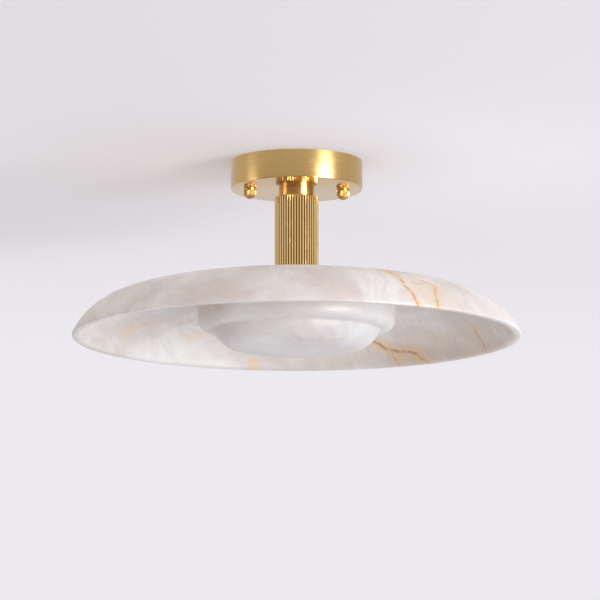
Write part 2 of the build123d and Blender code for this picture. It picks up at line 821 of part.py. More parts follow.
def holder_screw(angle):
    """Screw through a bracket's leg into the back of the holder."""
    leg_back = holder_back - bracket_sheet
    with BuildPart() as screw:
        with BuildSketch(across(angle, leg_back)):
            Circle(small_screw_radius)
        extrude(amount=bracket_sheet + holder_screw_depth)
        with BuildSketch(across(angle, leg_back)):
            Circle(small_head_radius)
        extrude(amount=-small_head_height)
    return screw.part


bracket_screws = Compound(label="bracket_screws", children=[bracket_screw(angle) for angle in lamp_angles])
export_step(bracket_screws, "parts/bracket_screws.step")
bracket_nuts = Compound(label="bracket_nuts", children=[bracket_nut(angle) for angle in lamp_angles])
export_step(bracket_nuts, "parts/bracket_nuts.step")
holder_screws = Compound(label="holder_screws", children=[holder_screw(angle) for angle in lamp_angles])
export_step(holder_screws, "parts/holder_screws.step")


def lamp_base(angle, name):
    """Ceramic base of a capsule lamp, flat on two sides at the pins."""
    with BuildPart() as base:
        with BuildSketch(across(angle, lamp_start)):
            RectangleRounded(lamp_base_radius * 2, lamp_base_radius, lamp_base_round)
        extrude(amount=lamp_base_length / 2)
        with BuildSketch(across(angle, lamp_start + lamp_base_length / 2)):
            Circle(lamp_base_radius)
        extrude(amount=lamp_base_length / 2)
    base.part.label = name
    export_step(base.part, f"parts/{name}.step")


def lamp_pins(angle, name):
    """Two contact pins."""
    with BuildPart() as pins:
        with BuildSketch(across(angle, lamp_start)):
            with GridLocations(pin_spacing, 0, 2, 1):
                Circle(pin_radius)
        extrude(amount=-pin_length)
    pins.part.label = name
    export_step(pins.part, f"parts/{name}.step")


def lamp_glass(angle, name):
    """Thin glass capsule with a round end."""
    plane = across(angle, glass_start)
    inner_radius = lamp_glass_radius - lamp_glass_wall
    straight = lamp_glass_length - lamp_glass_radius
    with BuildPart() as glass:
        with BuildSketch(Plane(plane.origin, x_dir=plane.x_dir, z_dir=(0, 0, 1))):
            with BuildLine():
                Line((inner_radius, 0), (lamp_glass_radius, 0))
                Line((lamp_glass_radius, 0), (lamp_glass_radius, straight))
                ThreePointArc(
                    (lamp_glass_radius, straight),
                    (lamp_glass_radius * sin(radians(45)), straight + lamp_glass_radius * cos(radians(45))),
                    (0, lamp_glass_length),
                )
                Line((0, lamp_glass_length), (0, lamp_glass_length - lamp_glass_wall))
                ThreePointArc(
                    (0, lamp_glass_length - lamp_glass_wall),
                    (inner_radius * sin(radians(45)), straight + inner_radius * cos(radians(45))),
                    (inner_radius, straight),
                )
                Line((inner_radius, straight), (inner_radius, 0))
            make_face()
        revolve(axis=Axis(plane.origin, plane.z_dir))
    glass.part.label = name
    export_step(glass.part, f"parts/{name}.step")


def lamp_strip(angle, name):
    """Light strip that stands on the base inside the capsule."""
    with BuildPart() as strip:
        with BuildSketch(across(angle, glass_start)):
            Rectangle(lamp_strip_width, lamp_strip_thickness)
        extrude(amount=lamp_strip_length)
    strip.part.label = name
    export_step(strip.part, f"parts/{name}.step")


for number, angle in enumerate(lamp_angles, start=1):
    lampholder(angle, f"lampholder_{number}")
    holder_bracket(angle, f"holder_bracket_{number}")
    lamp_base(angle, f"lamp_base_{number}")
    lamp_pins(angle, f"lamp_pins_{number}")
    lamp_glass(angle, f"lamp_glass_{number}")
    lamp_strip(angle, f"lamp_strip_{number}")

# Flex inside the threaded tube
flex_top = tube_top - flex_inset
flex_bottom = tube_bottom + flex_inset
riser_flex = ring(flex_top, flex_top - flex_bottom, flex_radius)
riser_flex.label = "riser_flex"
export_step(riser_flex, "parts/riser_flex.step")


def wire(points, radius, bend):
    """Round wire along straight runs joined by arcs of one radius."""
    corners = len(points) - 2
    start = Vector(points[0])
    with BuildPart() as strand:
        with BuildLine() as route:
            FilletPolyline(*points, radius=[bend] * corners)
        with BuildSketch(Plane(start, z_dir=Vector(points[1]) - start)):
            Circle(radius)
        sweep(path=route.line)
    return strand.part


# Cores from the top of the flex: live and neutral to the block, earth to its tag
for side, name in ((-1, "live_core"), (1, "neutral_core")):
    start = (side * core_circle * cos(radians(core_angle)), core_circle * sin(radians(core_angle)))
    core = wire(
        [
            (*start, flex_top),
            (*start, pole_level),
            (side * pole_pitch / 2, core_side - core_bend, pole_level),
            (side * pole_pitch / 2, core_side + pole_hole_depth, pole_level),
        ],
        core_radius,
        core_bend,
    )
    core.label = name
    export_step(core, f"parts/{name}.step")

earth_core = wire(
    [
        (0, earth_place[1], flex_top),
        (0, earth_place[1], barrel_level),
        (barrel_start, earth_place[1], barrel_level),
    ],
    core_radius,
    core_bend,
)
earth_core.label = "earth_core"
export_step(earth_core, "parts/earth_core.step")


def lamp_lead(angle, distance, turn):
    """Lead from the inner side of a holder, down a little and up into the tube."""
    out = Vector(cos(radians(angle)), sin(radians(angle)), 0)
    along = Vector(-sin(radians(angle)), cos(radians(angle)), 0)
    leave = out * (lamp_distance - holder_width / 2) + along * distance + Vector(0, 0, lamp_level)
    mouth = Vector(cos(radians(angle + turn)), sin(radians(angle + turn)), 0) * lead_circle
    low_level = tube_bottom - 2 * lead_bend
    straight = leave - out * lead_bend
    middle = (leave + mouth) * 0.5
    points = [
        leave,
        straight,
        Vector(middle.X, middle.Y, low_level - lead_sag),
        mouth + Vector(0, 0, low_level),
        mouth + Vector(0, 0, flex_bottom),
    ]
    return wire([tuple(point) for point in points], lead_radius, lead_bend)


lamp_leads = Compound(
    label="lamp_leads",
    children=[lamp_lead(angle, *place) for angle in lamp_angles for place in lead_places],
)
export_step(lamp_leads, "parts/lamp_leads.step")
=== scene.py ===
# Looks of the alabaster flush mount light. Metres, +Z up, with the ceiling at height zero.

import json
from math import acos, atan, atan2, cos, degrees, pi, radians, sin, sqrt, tan

import bpy
from mathutils import Matrix, Vector


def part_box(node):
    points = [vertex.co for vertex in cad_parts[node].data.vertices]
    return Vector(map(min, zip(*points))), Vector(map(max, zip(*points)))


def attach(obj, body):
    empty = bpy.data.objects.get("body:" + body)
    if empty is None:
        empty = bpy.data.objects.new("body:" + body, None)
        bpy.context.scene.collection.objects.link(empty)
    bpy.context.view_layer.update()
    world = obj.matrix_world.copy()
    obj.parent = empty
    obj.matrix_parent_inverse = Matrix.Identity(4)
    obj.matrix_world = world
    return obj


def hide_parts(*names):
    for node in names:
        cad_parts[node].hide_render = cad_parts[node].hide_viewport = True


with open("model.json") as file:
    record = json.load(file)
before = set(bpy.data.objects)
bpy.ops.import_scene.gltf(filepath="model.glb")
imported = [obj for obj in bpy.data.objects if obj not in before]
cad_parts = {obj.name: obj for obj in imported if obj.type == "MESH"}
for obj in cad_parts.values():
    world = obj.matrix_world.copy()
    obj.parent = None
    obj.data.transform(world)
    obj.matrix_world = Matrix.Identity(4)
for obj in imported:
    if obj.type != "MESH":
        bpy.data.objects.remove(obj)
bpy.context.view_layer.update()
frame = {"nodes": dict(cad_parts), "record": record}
nodes = frame["nodes"]
MM = 0.001

# Sizes of the turned pieces, read from the frame
rose_low, rose_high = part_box("rose")
neck_low, neck_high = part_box("neck")
stem_low, stem_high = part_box("stem_sleeve")
shade_low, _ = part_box("shade")
bowl_low, bowl_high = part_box("bowl")
rose_radius = rose_high.x
stem_radius = stem_high.x
neck_radius = neck_high.x

# Walls, roundings and rules of the same pieces
rose_wall = 1.5 * MM
rose_round = 1.0 * MM
sharp_round = 0.15 * MM
neck_bore = 5.15 * MM
stem_wall = 3 * MM
stem_chamfer = 0.5 * MM
flute_count = 50
flute_depth = 0.65 * MM
flute_share = 0.68
flute_floor_margin = 0.1 * MM

# Dome nuts: collar at the top, a groove under it, knurled barrel and rounded end
knob_radius = 5.75 * MM
knob_collar = 5.2 * MM
knob_collar_height = 1.4 * MM
knob_collar_round = 0.12 * MM
knob_groove_depth = 0.5 * MM
knob_groove_height = 0.3 * MM
knob_collar_start = 0.45 * MM
knob_barrel_height = 4.7 * MM
knob_bore = 2.55 * MM
knob_bore_depth = 6.05 * MM
knurl_count = 32
knurl_depth = 0.4 * MM
knurl_share = 0.8
knurl_end_margin = 0.15 * MM
knurl_floor_margin = 0.05 * MM

# Turns of the knurl's lean for each metre of height; with it the grooves cross
knurl_lean = 560.0

# Meshes: segments round the axis, the sharpest bend in degrees that is still shaded smooth, and the
# distance between an outline's points
rose_segments = 240
neck_segments = 160
segments_per_flute = 16
segments_per_knurl = 10
dish_segments = 360
bowl_segments = 300
metal_crease = 32.0
groove_crease = 28.0
stone_crease = 40.0
dish_spacing = 2.0 * MM
bowl_spacing = 1.5 * MM

# Lengths in metres that count as none: of a radius or a side, and between two points of an outline
no_length = 1e-7
same_point = 1e-6

# Dish and bowl: the same arcs as the solids
dish_radius = 203.8 * MM
dish_height = 56.3 * MM
stone_wall = 7 * MM
dish_rim_angle = 65.5
dish_bends = ((67.6 * MM, 19.2), (159 * MM, None))
upper_seat = 22 * MM
lower_seat = 32 * MM
stone_hole = 5.6 * MM
lip_outer_round = 1.6 * MM
lip_inner_round = 4.5 * MM
bowl_radius = 89.5 * MM
bowl_tier_level = 6.8 * MM
bowl_tier_arc = 10.4 * MM
bowl_ledge = 3.8 * MM
bowl_groove_round = 4.0 * MM
bowl_groove_reach = 3.4 * MM
bowl_lower_arc = 27 * MM
bowl_lower_angle = 67.7
bowl_lip_round = 1.0 * MM

# Photograph's camera: far away, below the light and looking a little up. Angles are in degrees.
camera_turn = -3.4
camera_pitch = 9.6
camera_place = (-0.1972, -3.3718, -0.6987)
camera_lens = 226.9
camera_sensor = 36.0
camera_reach = 60


def put(tree, kind, feeds=None, **settings):
    """Add a node, set its settings and feed its inputs."""
    node = tree.nodes.new(kind)
    for key, value in settings.items():
        setattr(node, key, value)
    for key, value in (feeds or {}).items():
        feed(tree, node.inputs[key], value)
    return node


def feed(tree, socket, value):
    """Link a socket to an output, or set it to a plain value."""
    if isinstance(value, bpy.types.NodeSocket):
        tree.links.new(value, socket)
    else:
        socket.default_value = value


def calc(tree, operation, *values):
    """One math node."""
    return put(tree, "ShaderNodeMath", dict(enumerate(values)), operation=operation).outputs[0]


def vector(tree, operation, *values):
    """One vector math node with a vector result."""
    return put(tree, "ShaderNodeVectorMath", dict(enumerate(values)), operation=operation).outputs["Vector"]


def measure(tree, operation, *values):
    """One vector math node with a plain number as its result."""
    return put(tree, "ShaderNodeVectorMath", dict(enumerate(values)), operation=operation).outputs["Value"]


def scaled(tree, value, factor):
    """One vector times a number."""
    return put(tree, "ShaderNodeVectorMath", {0: value, "Scale": factor}, operation="SCALE").outputs["Vector"]


def scaled_sum(tree, first, factor, added):
    """One vector times a factor, plus another."""
    return vector(tree, "MULTIPLY_ADD", first, factor, added)


def remap(tree, value, low, high, new_low=0.0, new_high=1.0):
    """Smooth step of a value from one range to another."""
    feeds = {"Value": value, "From Min": low, "From Max": high, "To Min": new_low, "To Max": new_high}
    return put(tree, "ShaderNodeMapRange", feeds, interpolation_type="SMOOTHSTEP").outputs["Result"]


def noise(tree, place, scale, detail=2.0, roughness=0.5, output=0):
    """Three-dimensional noise; output 0 is a number and 1 a colour."""
    feeds = {"Vector": place, "Scale": scale, "Detail": detail, "Roughness": roughness}
    return put(tree, "ShaderNodeTexNoise", feeds).outputs[output]


def mixed(tree, factor, first, second):
    """Mix of two colours."""
    node = put(tree, "ShaderNodeMix", data_type="RGBA")
    for index, value in ((0, factor), (6, first), (7, second)):
        feed(tree, node.inputs[index], value)
    return node.outputs[2]


def mixed_value(tree, factor, first, second):
    """Mix of two numbers."""
    node = put(tree, "ShaderNodeMix", data_type="FLOAT")
    for index, value in ((0, factor), (2, first), (3, second)):
        feed(tree, node.inputs[index], value)
    return node.outputs[0]


def mixed_shader(tree, factor, first, second):
    """Node that mixes the shaders of two nodes."""
    return put(tree, "ShaderNodeMixShader", {0: factor, 1: first.outputs[0], 2: second.outputs[0]})


def paint(red, green, blue):
    """Colour from screen values of 0 to 255."""
    straight = [value / 255 for value in (red, green, blue)]
    return tuple(v / 12.92 if v <= 0.04045 else ((v + 0.055) / 1.055) ** 2.4 for v in straight) + (1.0,)


def shader_group(name, inputs, outputs):
    """Empty shader group with named inputs and outputs."""
    tree = bpy.data.node_groups.new(name, "ShaderNodeTree")
    for label, kind, value in inputs:
        socket = tree.interface.new_socket(label, in_out="INPUT", socket_type=kind)
        if value is not None:
            socket.default_value = value
    for label, kind in outputs:
        tree.interface.new_socket(label, in_out="OUTPUT", socket_type=kind)
    return tree, tree.nodes.new("NodeGroupInput"), tree.nodes.new("NodeGroupOutput")


def use(tree, group, feeds):
    """Place a shader group in a material."""
    node = put(tree, "ShaderNodeGroup", node_tree=group)
    for key, value in feeds.items():
        feed(tree, node.inputs[key], value)
    return node


def turned_grain_group():
    """Fine lines that run round the Z axis, as a lathe or a brush leaves them."""
    tree, start, end = shader_group(
        "turned grain",
        [
            ("Vector", "NodeSocketVector", None),
            ("Lines", "NodeSocketFloat", 2200.0),
            ("Round", "NodeSocketFloat", 5.0),
        ],
        [("Lines", "NodeSocketFloat"), ("Cloud", "NodeSocketFloat")],
    )
    split = put(tree, "ShaderNodeSeparateXYZ", {0: start.outputs["Vector"]})
    flat = put(tree, "ShaderNodeCombineXYZ", {0: split.outputs[0], 1: split.outputs[1]}).outputs[0]
    radius = measure(tree, "LENGTH", flat)
    around = vector(tree, "NORMALIZE", flat)
    spread = scaled(tree, around, start.outputs["Round"])
    along = calc(tree, "MULTIPLY", split.outputs[2], start.outputs["Lines"])
    outward = calc(tree, "MULTIPLY", radius, start.outputs["Lines"])
    lifted = vector(tree, "ADD", spread, put(tree, "ShaderNodeCombineXYZ", {2: outward}).outputs[0])
    feeds = {"Vector": lifted, "W": along, "Scale": 1.0, "Detail": 4.0, "Roughness": 0.65}
    lines = put(tree, "ShaderNodeTexNoise", feeds, noise_dimensions="4D").outputs[0]
    cloud = noise(tree, start.outputs["Vector"], 60.0, 3.0)
    feed(tree, end.inputs["Lines"], lines)
    feed(tree, end.inputs["Cloud"], cloud)
    return tree


def handling_group():
    """Faint smudges and dust that every handled surface has."""
    tree, start, end = shader_group(
        "handling",
        [("Vector", "NodeSocketVector", None), ("Scale", "NodeSocketFloat", 40.0)],
        [("Smudge", "NodeSocketFloat"), ("Speck", "NodeSocketFloat")],
    )
    place, scale = start.outputs["Vector"], start.outputs["Scale"]
    smudge = remap(tree, noise(tree, place, scale, 3.0), 0.35, 0.7)
    fine = calc(tree, "MULTIPLY", scale, 30.0)
    speck = remap(tree, noise(tree, place, fine, 1.0), 0.62, 0.72)
    feed(tree, end.inputs["Smudge"], smudge)
    feed(tree, end.inputs["Speck"], speck)
    return tree


def stone_group():
    """Body of the alabaster: clouds, fine streaks along one way, feathery white and warm patches."""
    tree, start, end = shader_group(
        "alabaster body",
        [("Vector", "NodeSocketVector", None), ("Across", "NodeSocketVector", None)],
        [
            ("Cloud", "NodeSocketFloat"),
            ("Streaks", "NodeSocketFloat"),
            ("Snow", "NodeSocketFloat"),
            ("Warmth", "NodeSocketFloat"),
        ],
    )
    place, across = start.outputs["Vector"], start.outputs["Across"]
    shift = vector(tree, "SUBTRACT", noise(tree, place, 14.0, 3.0, output=1), (0.5, 0.5, 0.5))
    warped = scaled_sum(tree, shift, (0.05,) * 3, place)
    cloud = remap(tree, noise(tree, warped, 15.0, 5.0, 0.55), 0.34, 0.68)
    drawn = calc(tree, "MULTIPLY", measure(tree, "DOT_PRODUCT", warped, across), 8.0)
    thin = scaled(tree, across, drawn)
    flow = vector(tree, "ADD", warped, thin)
    streaks = remap(tree, noise(tree, flow, 26.0, 5.0, 0.6), 0.4, 0.72)
    bunches = remap(tree, noise(tree, place, 13.0, 2.0), 0.42, 0.62)
    spots = remap(tree, noise(tree, scaled_sum(tree, thin, (0.1,) * 3, warped), 60.0, 6.0, 0.62), 0.44, 0.7)
    where = remap(tree, noise(tree, warped, 19.0, 2.0), 0.44, 0.64)
    offset = vector(tree, "ADD", warped, (0.31, 0.17, 0.11))
    warmth = remap(tree, noise(tree, offset, 10.0, 3.0), 0.5, 0.74)
    feed(tree, end.inputs["Cloud"], cloud)
    feed(tree, end.inputs["Streaks"], calc(tree, "MULTIPLY", streaks, bunches))
    feed(tree, end.inputs["Snow"], calc(tree, "MULTIPLY", spots, where))
    feed(tree, end.inputs["Warmth"], warmth)
    return tree


def vein_group():
    """One crack-like vein that runs through the wall between two places: a thin line and its stain."""
    tree, start, end = shader_group(
        "stone vein",
        [
            ("Vector", "NodeSocketVector", None),
            ("From", "NodeSocketVector", None),
            ("To", "NodeSocketVector", None),
            ("Through", "NodeSocketVector", None),
            ("Width", "NodeSocketFloat", 0.0008),
            ("Stain", "NodeSocketFloat", 0.005),
        ],
        [("Line", "NodeSocketFloat"), ("Stain", "NodeSocketFloat")],
    )
    place, near, far = (start.outputs[label] for label in ("Vector", "From", "To"))
    through = start.outputs["Through"]
    course = vector(tree, "SUBTRACT", far, near)
    reach = vector(tree, "SUBTRACT", place, near)
    length_squared = measure(tree, "DOT_PRODUCT", course, course)
    share = calc(tree, "DIVIDE", measure(tree, "DOT_PRODUCT", reach, course), length_squared)
    share = put(tree, "ShaderNodeClamp", {0: share}).outputs[0]
    foot = scaled(tree, course, share)
    away = vector(tree, "SUBTRACT", reach, foot)
    depth = measure(tree, "DOT_PRODUCT", away, through)
    sunk = scaled(tree, through, depth)
    distance = measure(tree, "LENGTH", vector(tree, "SUBTRACT", away, sunk))
    shallow = remap(tree, calc(tree, "ABSOLUTE", depth), 12 * MM, 20 * MM, 1.0, 0.0)
    for label, width in (("Line", "Width"), ("Stain", "Stain")):
        near_course = remap(tree, distance, 0.0, start.outputs[width], 1.0, 0.0)
        feed(tree, end.inputs[label], calc(tree, "MULTIPLY", near_course, shallow))
    return tree


turned_grain = turned_grain_group()
handling = handling_group()
stone_body = stone_group()
stone_vein = vein_group()


def material(name, **constants):
    """New material: its tree, its shader and its object coordinates. Constants go on the shader's sockets."""
    made = bpy.data.materials.new(name)
    made.use_nodes = True
    tree = made.node_tree
    shader = tree.nodes["Principled BSDF"]
    for key, value in constants.items():
        shader.inputs[key.replace("_", " ")].default_value = value
    place = tree.nodes.new("ShaderNodeTexCoord").outputs["Object"]
    return made, tree, shader, place


def centred(tree, place, centre):
    """Object coordinates measured from a piece's own axis."""
    feeds = {"Vector": place, "Location": centre}
    return put(tree, "ShaderNodeMapping", feeds, vector_type="TEXTURE").outputs[0]


def worn(tree, touched, rough, added):
    """Roughness that rises by a little where hands have smudged the surface."""
    return remap(tree, touched.outputs["Smudge"], 0.0, 1.0, rough, rough + added)


def bump(tree, shader, height, strength, distance):
    """Bump that feeds the shader's normal."""
    feeds = {"Height": height, "Strength": strength, "Distance": distance}
    feed(tree, shader.inputs["Normal"], put(tree, "ShaderNodeBump", feeds).outputs[0])


# Brass tones: between the brush lines, on them, tarnished; then painted light on the flutes: a painted
# highlight on their lands and painted shade in their floors
brass_deep = paint(206, 167, 104)
brass_bright = paint(218, 184, 124)
brass_tarnish = paint(198, 156, 92)
brass_land_highlight = paint(252, 220, 158)
brass_floor_shade = paint(122, 78, 24)


def satin_brass(
    name, centre=(0, 0, 0), rough=0.24, brushed=1.0, stretch=0.75, mirror_level=None, flute_light_radius=None
):
    """Lacquered brass, finely brushed round the piece's axis.

    Below a mirror level it is polished more. Inside the given flute radius it carries painted light:
    painted shade in the bottom of each flute and a painted highlight on the lands.
    """
    made, tree, shader, place = material(name, Metallic=1.0, Anisotropic=stretch, Anisotropic_Rotation=0.25)
    own = centred(tree, place, centre)
    coarse = use(tree, turned_grain, {"Vector": own, "Lines": 1500.0, "Round": 1.3})
    fine = use(tree, turned_grain, {"Vector": own, "Lines": 5200.0, "Round": 6.0})
    touched = use(tree, handling, {"Vector": own, "Scale": 55.0})
    lines = mixed_value(tree, 0.35, fine.outputs["Lines"], coarse.outputs["Lines"])
    lines = remap(tree, lines, 0.36, 0.64)
    base = mixed(tree, calc(tree, "MULTIPLY", lines, brushed), brass_deep, brass_bright)
    base = mixed(tree, calc(tree, "MULTIPLY", coarse.outputs["Cloud"], 0.2), base, brass_tarnish)
    # Painted light: the flutes' lands get a painted highlight and their floors painted shade
    if flute_light_radius is not None:
        flat = vector(tree, "MULTIPLY", own, (1.0, 1.0, 0.0))
        reach = measure(tree, "LENGTH", flat)
        for first_depth, full_depth, tone in ((0.2, 0.04, brass_land_highlight), (0.3, 0.6, brass_floor_shade)):
            share = remap(tree, reach, flute_light_radius - first_depth * MM, flute_light_radius - full_depth * MM)
            base = mixed(tree, share, base, tone)
    feed(tree, shader.inputs["Base Color"], base)
    level = worn(tree, touched, rough, 0.04)
    level = calc(tree, "ADD", level, calc(tree, "MULTIPLY", lines, 0.03 * brushed))
    if mirror_level is not None:
        height = put(tree, "ShaderNodeSeparateXYZ", {0: place}).outputs[2]
        polish = remap(tree, height, mirror_level + 0.1 * MM, mirror_level + 0.5 * MM, 0.55, 1.0)
        level = calc(tree, "MULTIPLY", level, polish)
    feed(tree, shader.inputs["Roughness"], level)
    bump(tree, shader, lines, 0.06 * brushed, 0.00003)
    tangent = put(tree, "ShaderNodeTangent", direction_type="RADIAL", axis="Z")
    feed(tree, shader.inputs["Tangent"], tangent.outputs[0])
    return made


def turned_metal(name, light, dark, rough):
    """Machined or plated metal with lathe lines."""
    made, tree, shader, place = material(name, Metallic=1.0)
    grain = use(tree, turned_grain, {"Vector": place, "Lines": 2600.0, "Round": 6.0})
    touched = use(tree, handling, {"Vector": place, "Scale": 90.0})
    base = mixed(tree, remap(tree, grain.outputs["Lines"], 0.35, 0.65), dark, light)
    base = mixed(tree, calc(tree, "MULTIPLY", touched.outputs["Smudge"], 0.3), base, dark)
    feed(tree, shader.inputs["Base Color"], base)
    feed(tree, shader.inputs["Roughness"], worn(tree, touched, rough, 0.12))
    bump(tree, shader, grain.outputs["Lines"], 0.15, 0.00005)
    return made


def plated_sheet(name):
    """Zinc-plated sheet steel: soft spangle and rolling marks."""
    made, tree, shader, place = material(name, Metallic=1.0)
    touched = use(tree, handling, {"Vector": place, "Scale": 70.0})
    rolled = put(tree, "ShaderNodeMapping", {"Vector": place, "Scale": (40.0, 900.0, 900.0)}).outputs[0]
    marks = noise(tree, rolled, 1.0, 3.0)
    base = mixed(tree, remap(tree, marks, 0.3, 0.7), paint(176, 180, 186), paint(205, 208, 210))
    base = mixed(tree, calc(tree, "MULTIPLY", touched.outputs["Smudge"], 0.35), base, paint(190, 186, 168))
    feed(tree, shader.inputs["Base Color"], base)
    feed(tree, shader.inputs["Roughness"], worn(tree, touched, 0.3, 0.15))
    bump(tree, shader, marks, 0.1, 0.00004)
    return made


def moulded(name, light, dark, rough, grain_scale=900.0, grain_depth=0.00006, **constants):
    """Plain material with faint mottling and a fine surface: plastics, rubber, ceramic and paint."""
    made, tree, shader, place = material(name, **constants)
    touched = use(tree, handling, {"Vector": place, "Scale": 60.0})
    grain = noise(tree, place, grain_scale, 3.0, 0.6)
    base = mixed(tree, calc(tree, "MULTIPLY", touched.outputs["Smudge"], 0.5), light, dark)
    base = mixed(tree, calc(tree, "MULTIPLY", touched.outputs["Speck"], 0.25), base, dark)
    feed(tree, shader.inputs["Base Color"], base)
    feed(tree, shader.inputs["Roughness"], remap(tree, grain, 0.3, 0.7, rough - 0.05, rough + 0.07))
    bump(tree, shader, grain, 0.3, grain_depth)
    return made


def felt():
    """Pressed wool felt: short fibres every way."""
    made, tree, shader, place = material("felt", Sheen_Weight=0.3)
    fibres = noise(tree, place, 2400.0, 4.0, 0.75)
    feed(tree, shader.inputs["Base Color"], mixed(tree, fibres, paint(196, 190, 178), paint(232, 228, 218)))
    feed(tree, shader.inputs["Roughness"], remap(tree, fibres, 0.0, 1.0, 0.85, 1.0))
    bump(tree, shader, fibres, 0.6, 0.0002)
    return made


def striped_core():
    """Green insulation with a yellow stripe along it."""
    made, tree, shader, place = material("green_yellow_core")
    split = put(tree, "ShaderNodeSeparateXYZ", {0: place})
    earth_low, earth_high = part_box("earth_core")
    middle = (earth_low.y + earth_high.y) / 2
    side = remap(tree, split.outputs[1], middle - 0.1 * MM, middle + 0.1 * MM)
    grain = noise(tree, place, 800.0, 2.0)
    base = mixed(tree, side, paint(52, 128, 60), paint(226, 200, 48))
    base = mixed(tree, calc(tree, "MULTIPLY", grain, 0.2), base, paint(40, 60, 30))
    feed(tree, shader.inputs["Base Color"], base)
    feed(tree, shader.inputs["Roughness"], remap(tree, grain, 0.3, 0.7, 0.38, 0.5))
    return made


def lamp_glass():
    """Clear capsule glass."""
    made, tree, shader, place = material("clear_glass", Transmission_Weight=1.0, IOR=1.46)
    touched = use(tree, handling, {"Vector": place, "Scale": 120.0})
    base = mixed(tree, touched.outputs["Smudge"], paint(252, 253, 253), paint(246, 249, 250))
    feed(tree, shader.inputs["Base Color"], base)
    feed(tree, shader.inputs["Roughness"], worn(tree, touched, 0.0, 0.03))
    return made


def arc_point(centre, arc_radius, slope):
    """Place on an arc where the surface slopes by that many degrees from level."""
    return (centre[0] + arc_radius * sin(radians(slope)), centre[1] + arc_radius * cos(radians(slope)))


def asin_safe(value):
    """Angle of a sine that may pass one by rounding."""
    value = max(-1.0, min(1.0, value))
    return atan2(value, sqrt(max(0.0, 1.0 - value * value)))


def dome_arcs(rim_radius, height, rim_slope, bends):
    """Arcs of a dome, rim to crown, that run smoothly into each other."""
    arcs = []
    place, slope = (rim_radius, 0), rim_slope
    for arc_radius, end_slope in bends:
        centre = (place[0] - arc_radius * sin(radians(slope)), place[1] - arc_radius * cos(radians(slope)))
        if end_slope is None:
            end_slope = 2 * degrees(atan((height - centre[1] - arc_radius) / centre[0]))
        arcs.append((centre, arc_radius, slope, end_slope))
        place, slope = arc_point(centre, arc_radius, end_slope), end_slope
    crown_radius = place[0] / sin(radians(slope))
    arcs.append(((0, height - crown_radius), crown_radius, slope, 0))
    return arcs


def inner_arcs(arcs, wall, start_slope):
    """The same arcs one wall further in."""
    moved = [(centre, arc_radius - wall, start, end) for centre, arc_radius, start, end in arcs]
    centre, arc_radius, _, end = moved[0]
    moved[0] = (centre, arc_radius, start_slope, end)
    return moved


def end_at_radius(arcs, flat_radius):
    """Stop the crown arc at a radius."""
    centre, arc_radius, start, _ = arcs[-1]
    end = degrees(atan(flat_radius / sqrt(arc_radius**2 - flat_radius**2)))
    return arcs[:-1] + [(centre, arc_radius, start, end)]


def arc_outline(arcs, level, upward, step):
    """Points along dome arcs, about one step apart."""
    outline = []
    for centre, arc_radius, start, end in arcs:
        count = max(2, round(arc_radius * abs(radians(end - start)) / step))
        for index in range(count + 1):
            x, z = arc_point(centre, arc_radius, start + (end - start) * index / count)
            outline.append((max(x, 0.0), level + upward * z, 0.0))
    return outline


def rounded(corners, steps=6):
    """Closed outline of (radius, height, rounding) corners, with each rounding as an arc."""
    outline = []
    for index, (x, z, rounding) in enumerate(corners):
        here = Vector((x, z))
        back = Vector(corners[index - 1][:2]) - here
        ahead = Vector(corners[(index + 1) % len(corners)][:2]) - here
        if rounding <= 0 or back.length < no_length or ahead.length < no_length:
            outline.append(here)
            continue
        back.normalize()
        ahead.normalize()
        half = back.angle(ahead) / 2
        centre = here + (back + ahead).normalized() * rounding / sin(half)
        first = here + back * rounding / tan(half) - centre
        last = here + ahead * rounding / tan(half) - centre
        start = atan2(first.y, first.x)
        sweep = (atan2(last.y, last.x) - start + pi) % (2 * pi) - pi
        for step in range(steps + 1):
            angle = start + sweep * step / steps
            outline.append(centre + Vector((cos(angle), sin(angle))) * rounding)
    kept = []
    for point in outline:
        if not kept or (point - kept[-1]).length > same_point:
            kept.append(point)
    if (kept[0] - kept[-1]).length < same_point:
        kept.pop()
    return kept


def lathe(name, outline, segments):
    """Closed mesh turned about Z from a closed outline of (radius, height) points."""
    area = sum(a.x * b.y - b.x * a.y for a, b in zip(outline, outline[1:] + outline[:1]))
    if area < 0:
        outline = outline[::-1]
    verts, rings = [], []
    for point in outline:
        if point.x < no_length:
            rings.append([len(verts)] * segments)
            verts.append((0.0, 0.0, point.y))
            continue
        rings.append(list(range(len(verts), len(verts) + segments)))
        for index in range(segments):
            angle = 2 * pi * index / segments
            verts.append((point.x * cos(angle), point.x * sin(angle), point.y))
    faces = []
    for ring, after in zip(rings, rings[1:] + rings[:1]):
        if ring[0] == ring[1] and after[0] == after[1]:
            continue
        for index in range(segments):
            follow = (index + 1) % segments
            corners = (ring[index], ring[follow], after[follow], after[index])
            faces.append(tuple(dict.fromkeys(corners)))
    mesh = bpy.data.meshes.new(name)
    mesh.from_pydata(verts, [], faces)
    mesh.update()
    return mesh


def finish_mesh(mesh, crease=metal_crease):
    """Smooth shading that keeps real edges crisp."""
    mesh.shade_smooth()
    mesh.set_sharp_from_angle(angle=radians(crease))


def place_piece(name, mesh, look, body, slot, *replaced):
    """Link a finished mesh as a piece on a body, standing for CAD nodes."""
    piece = bpy.data.objects.new(name, mesh)
    bpy.context.scene.collection.objects.link(piece)
    mesh.materials.clear()
    mesh.materials.append(look)
    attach(piece, body)
    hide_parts(*replaced)


def geometry_group(name, inputs):
    """Empty geometry tree with named inputs and one geometry output."""
    tree = bpy.data.node_groups.new(name, "GeometryNodeTree")
    for label, kind in [("Geometry", "NodeSocketGeometry"), *inputs]:
        tree.interface.new_socket(label, in_out="INPUT", socket_type=kind)
    tree.interface.new_socket("Geometry", in_out="OUTPUT", socket_type="NodeSocketGeometry")
    return tree, tree.nodes.new("NodeGroupInput"), tree.nodes.new("NodeGroupOutput")


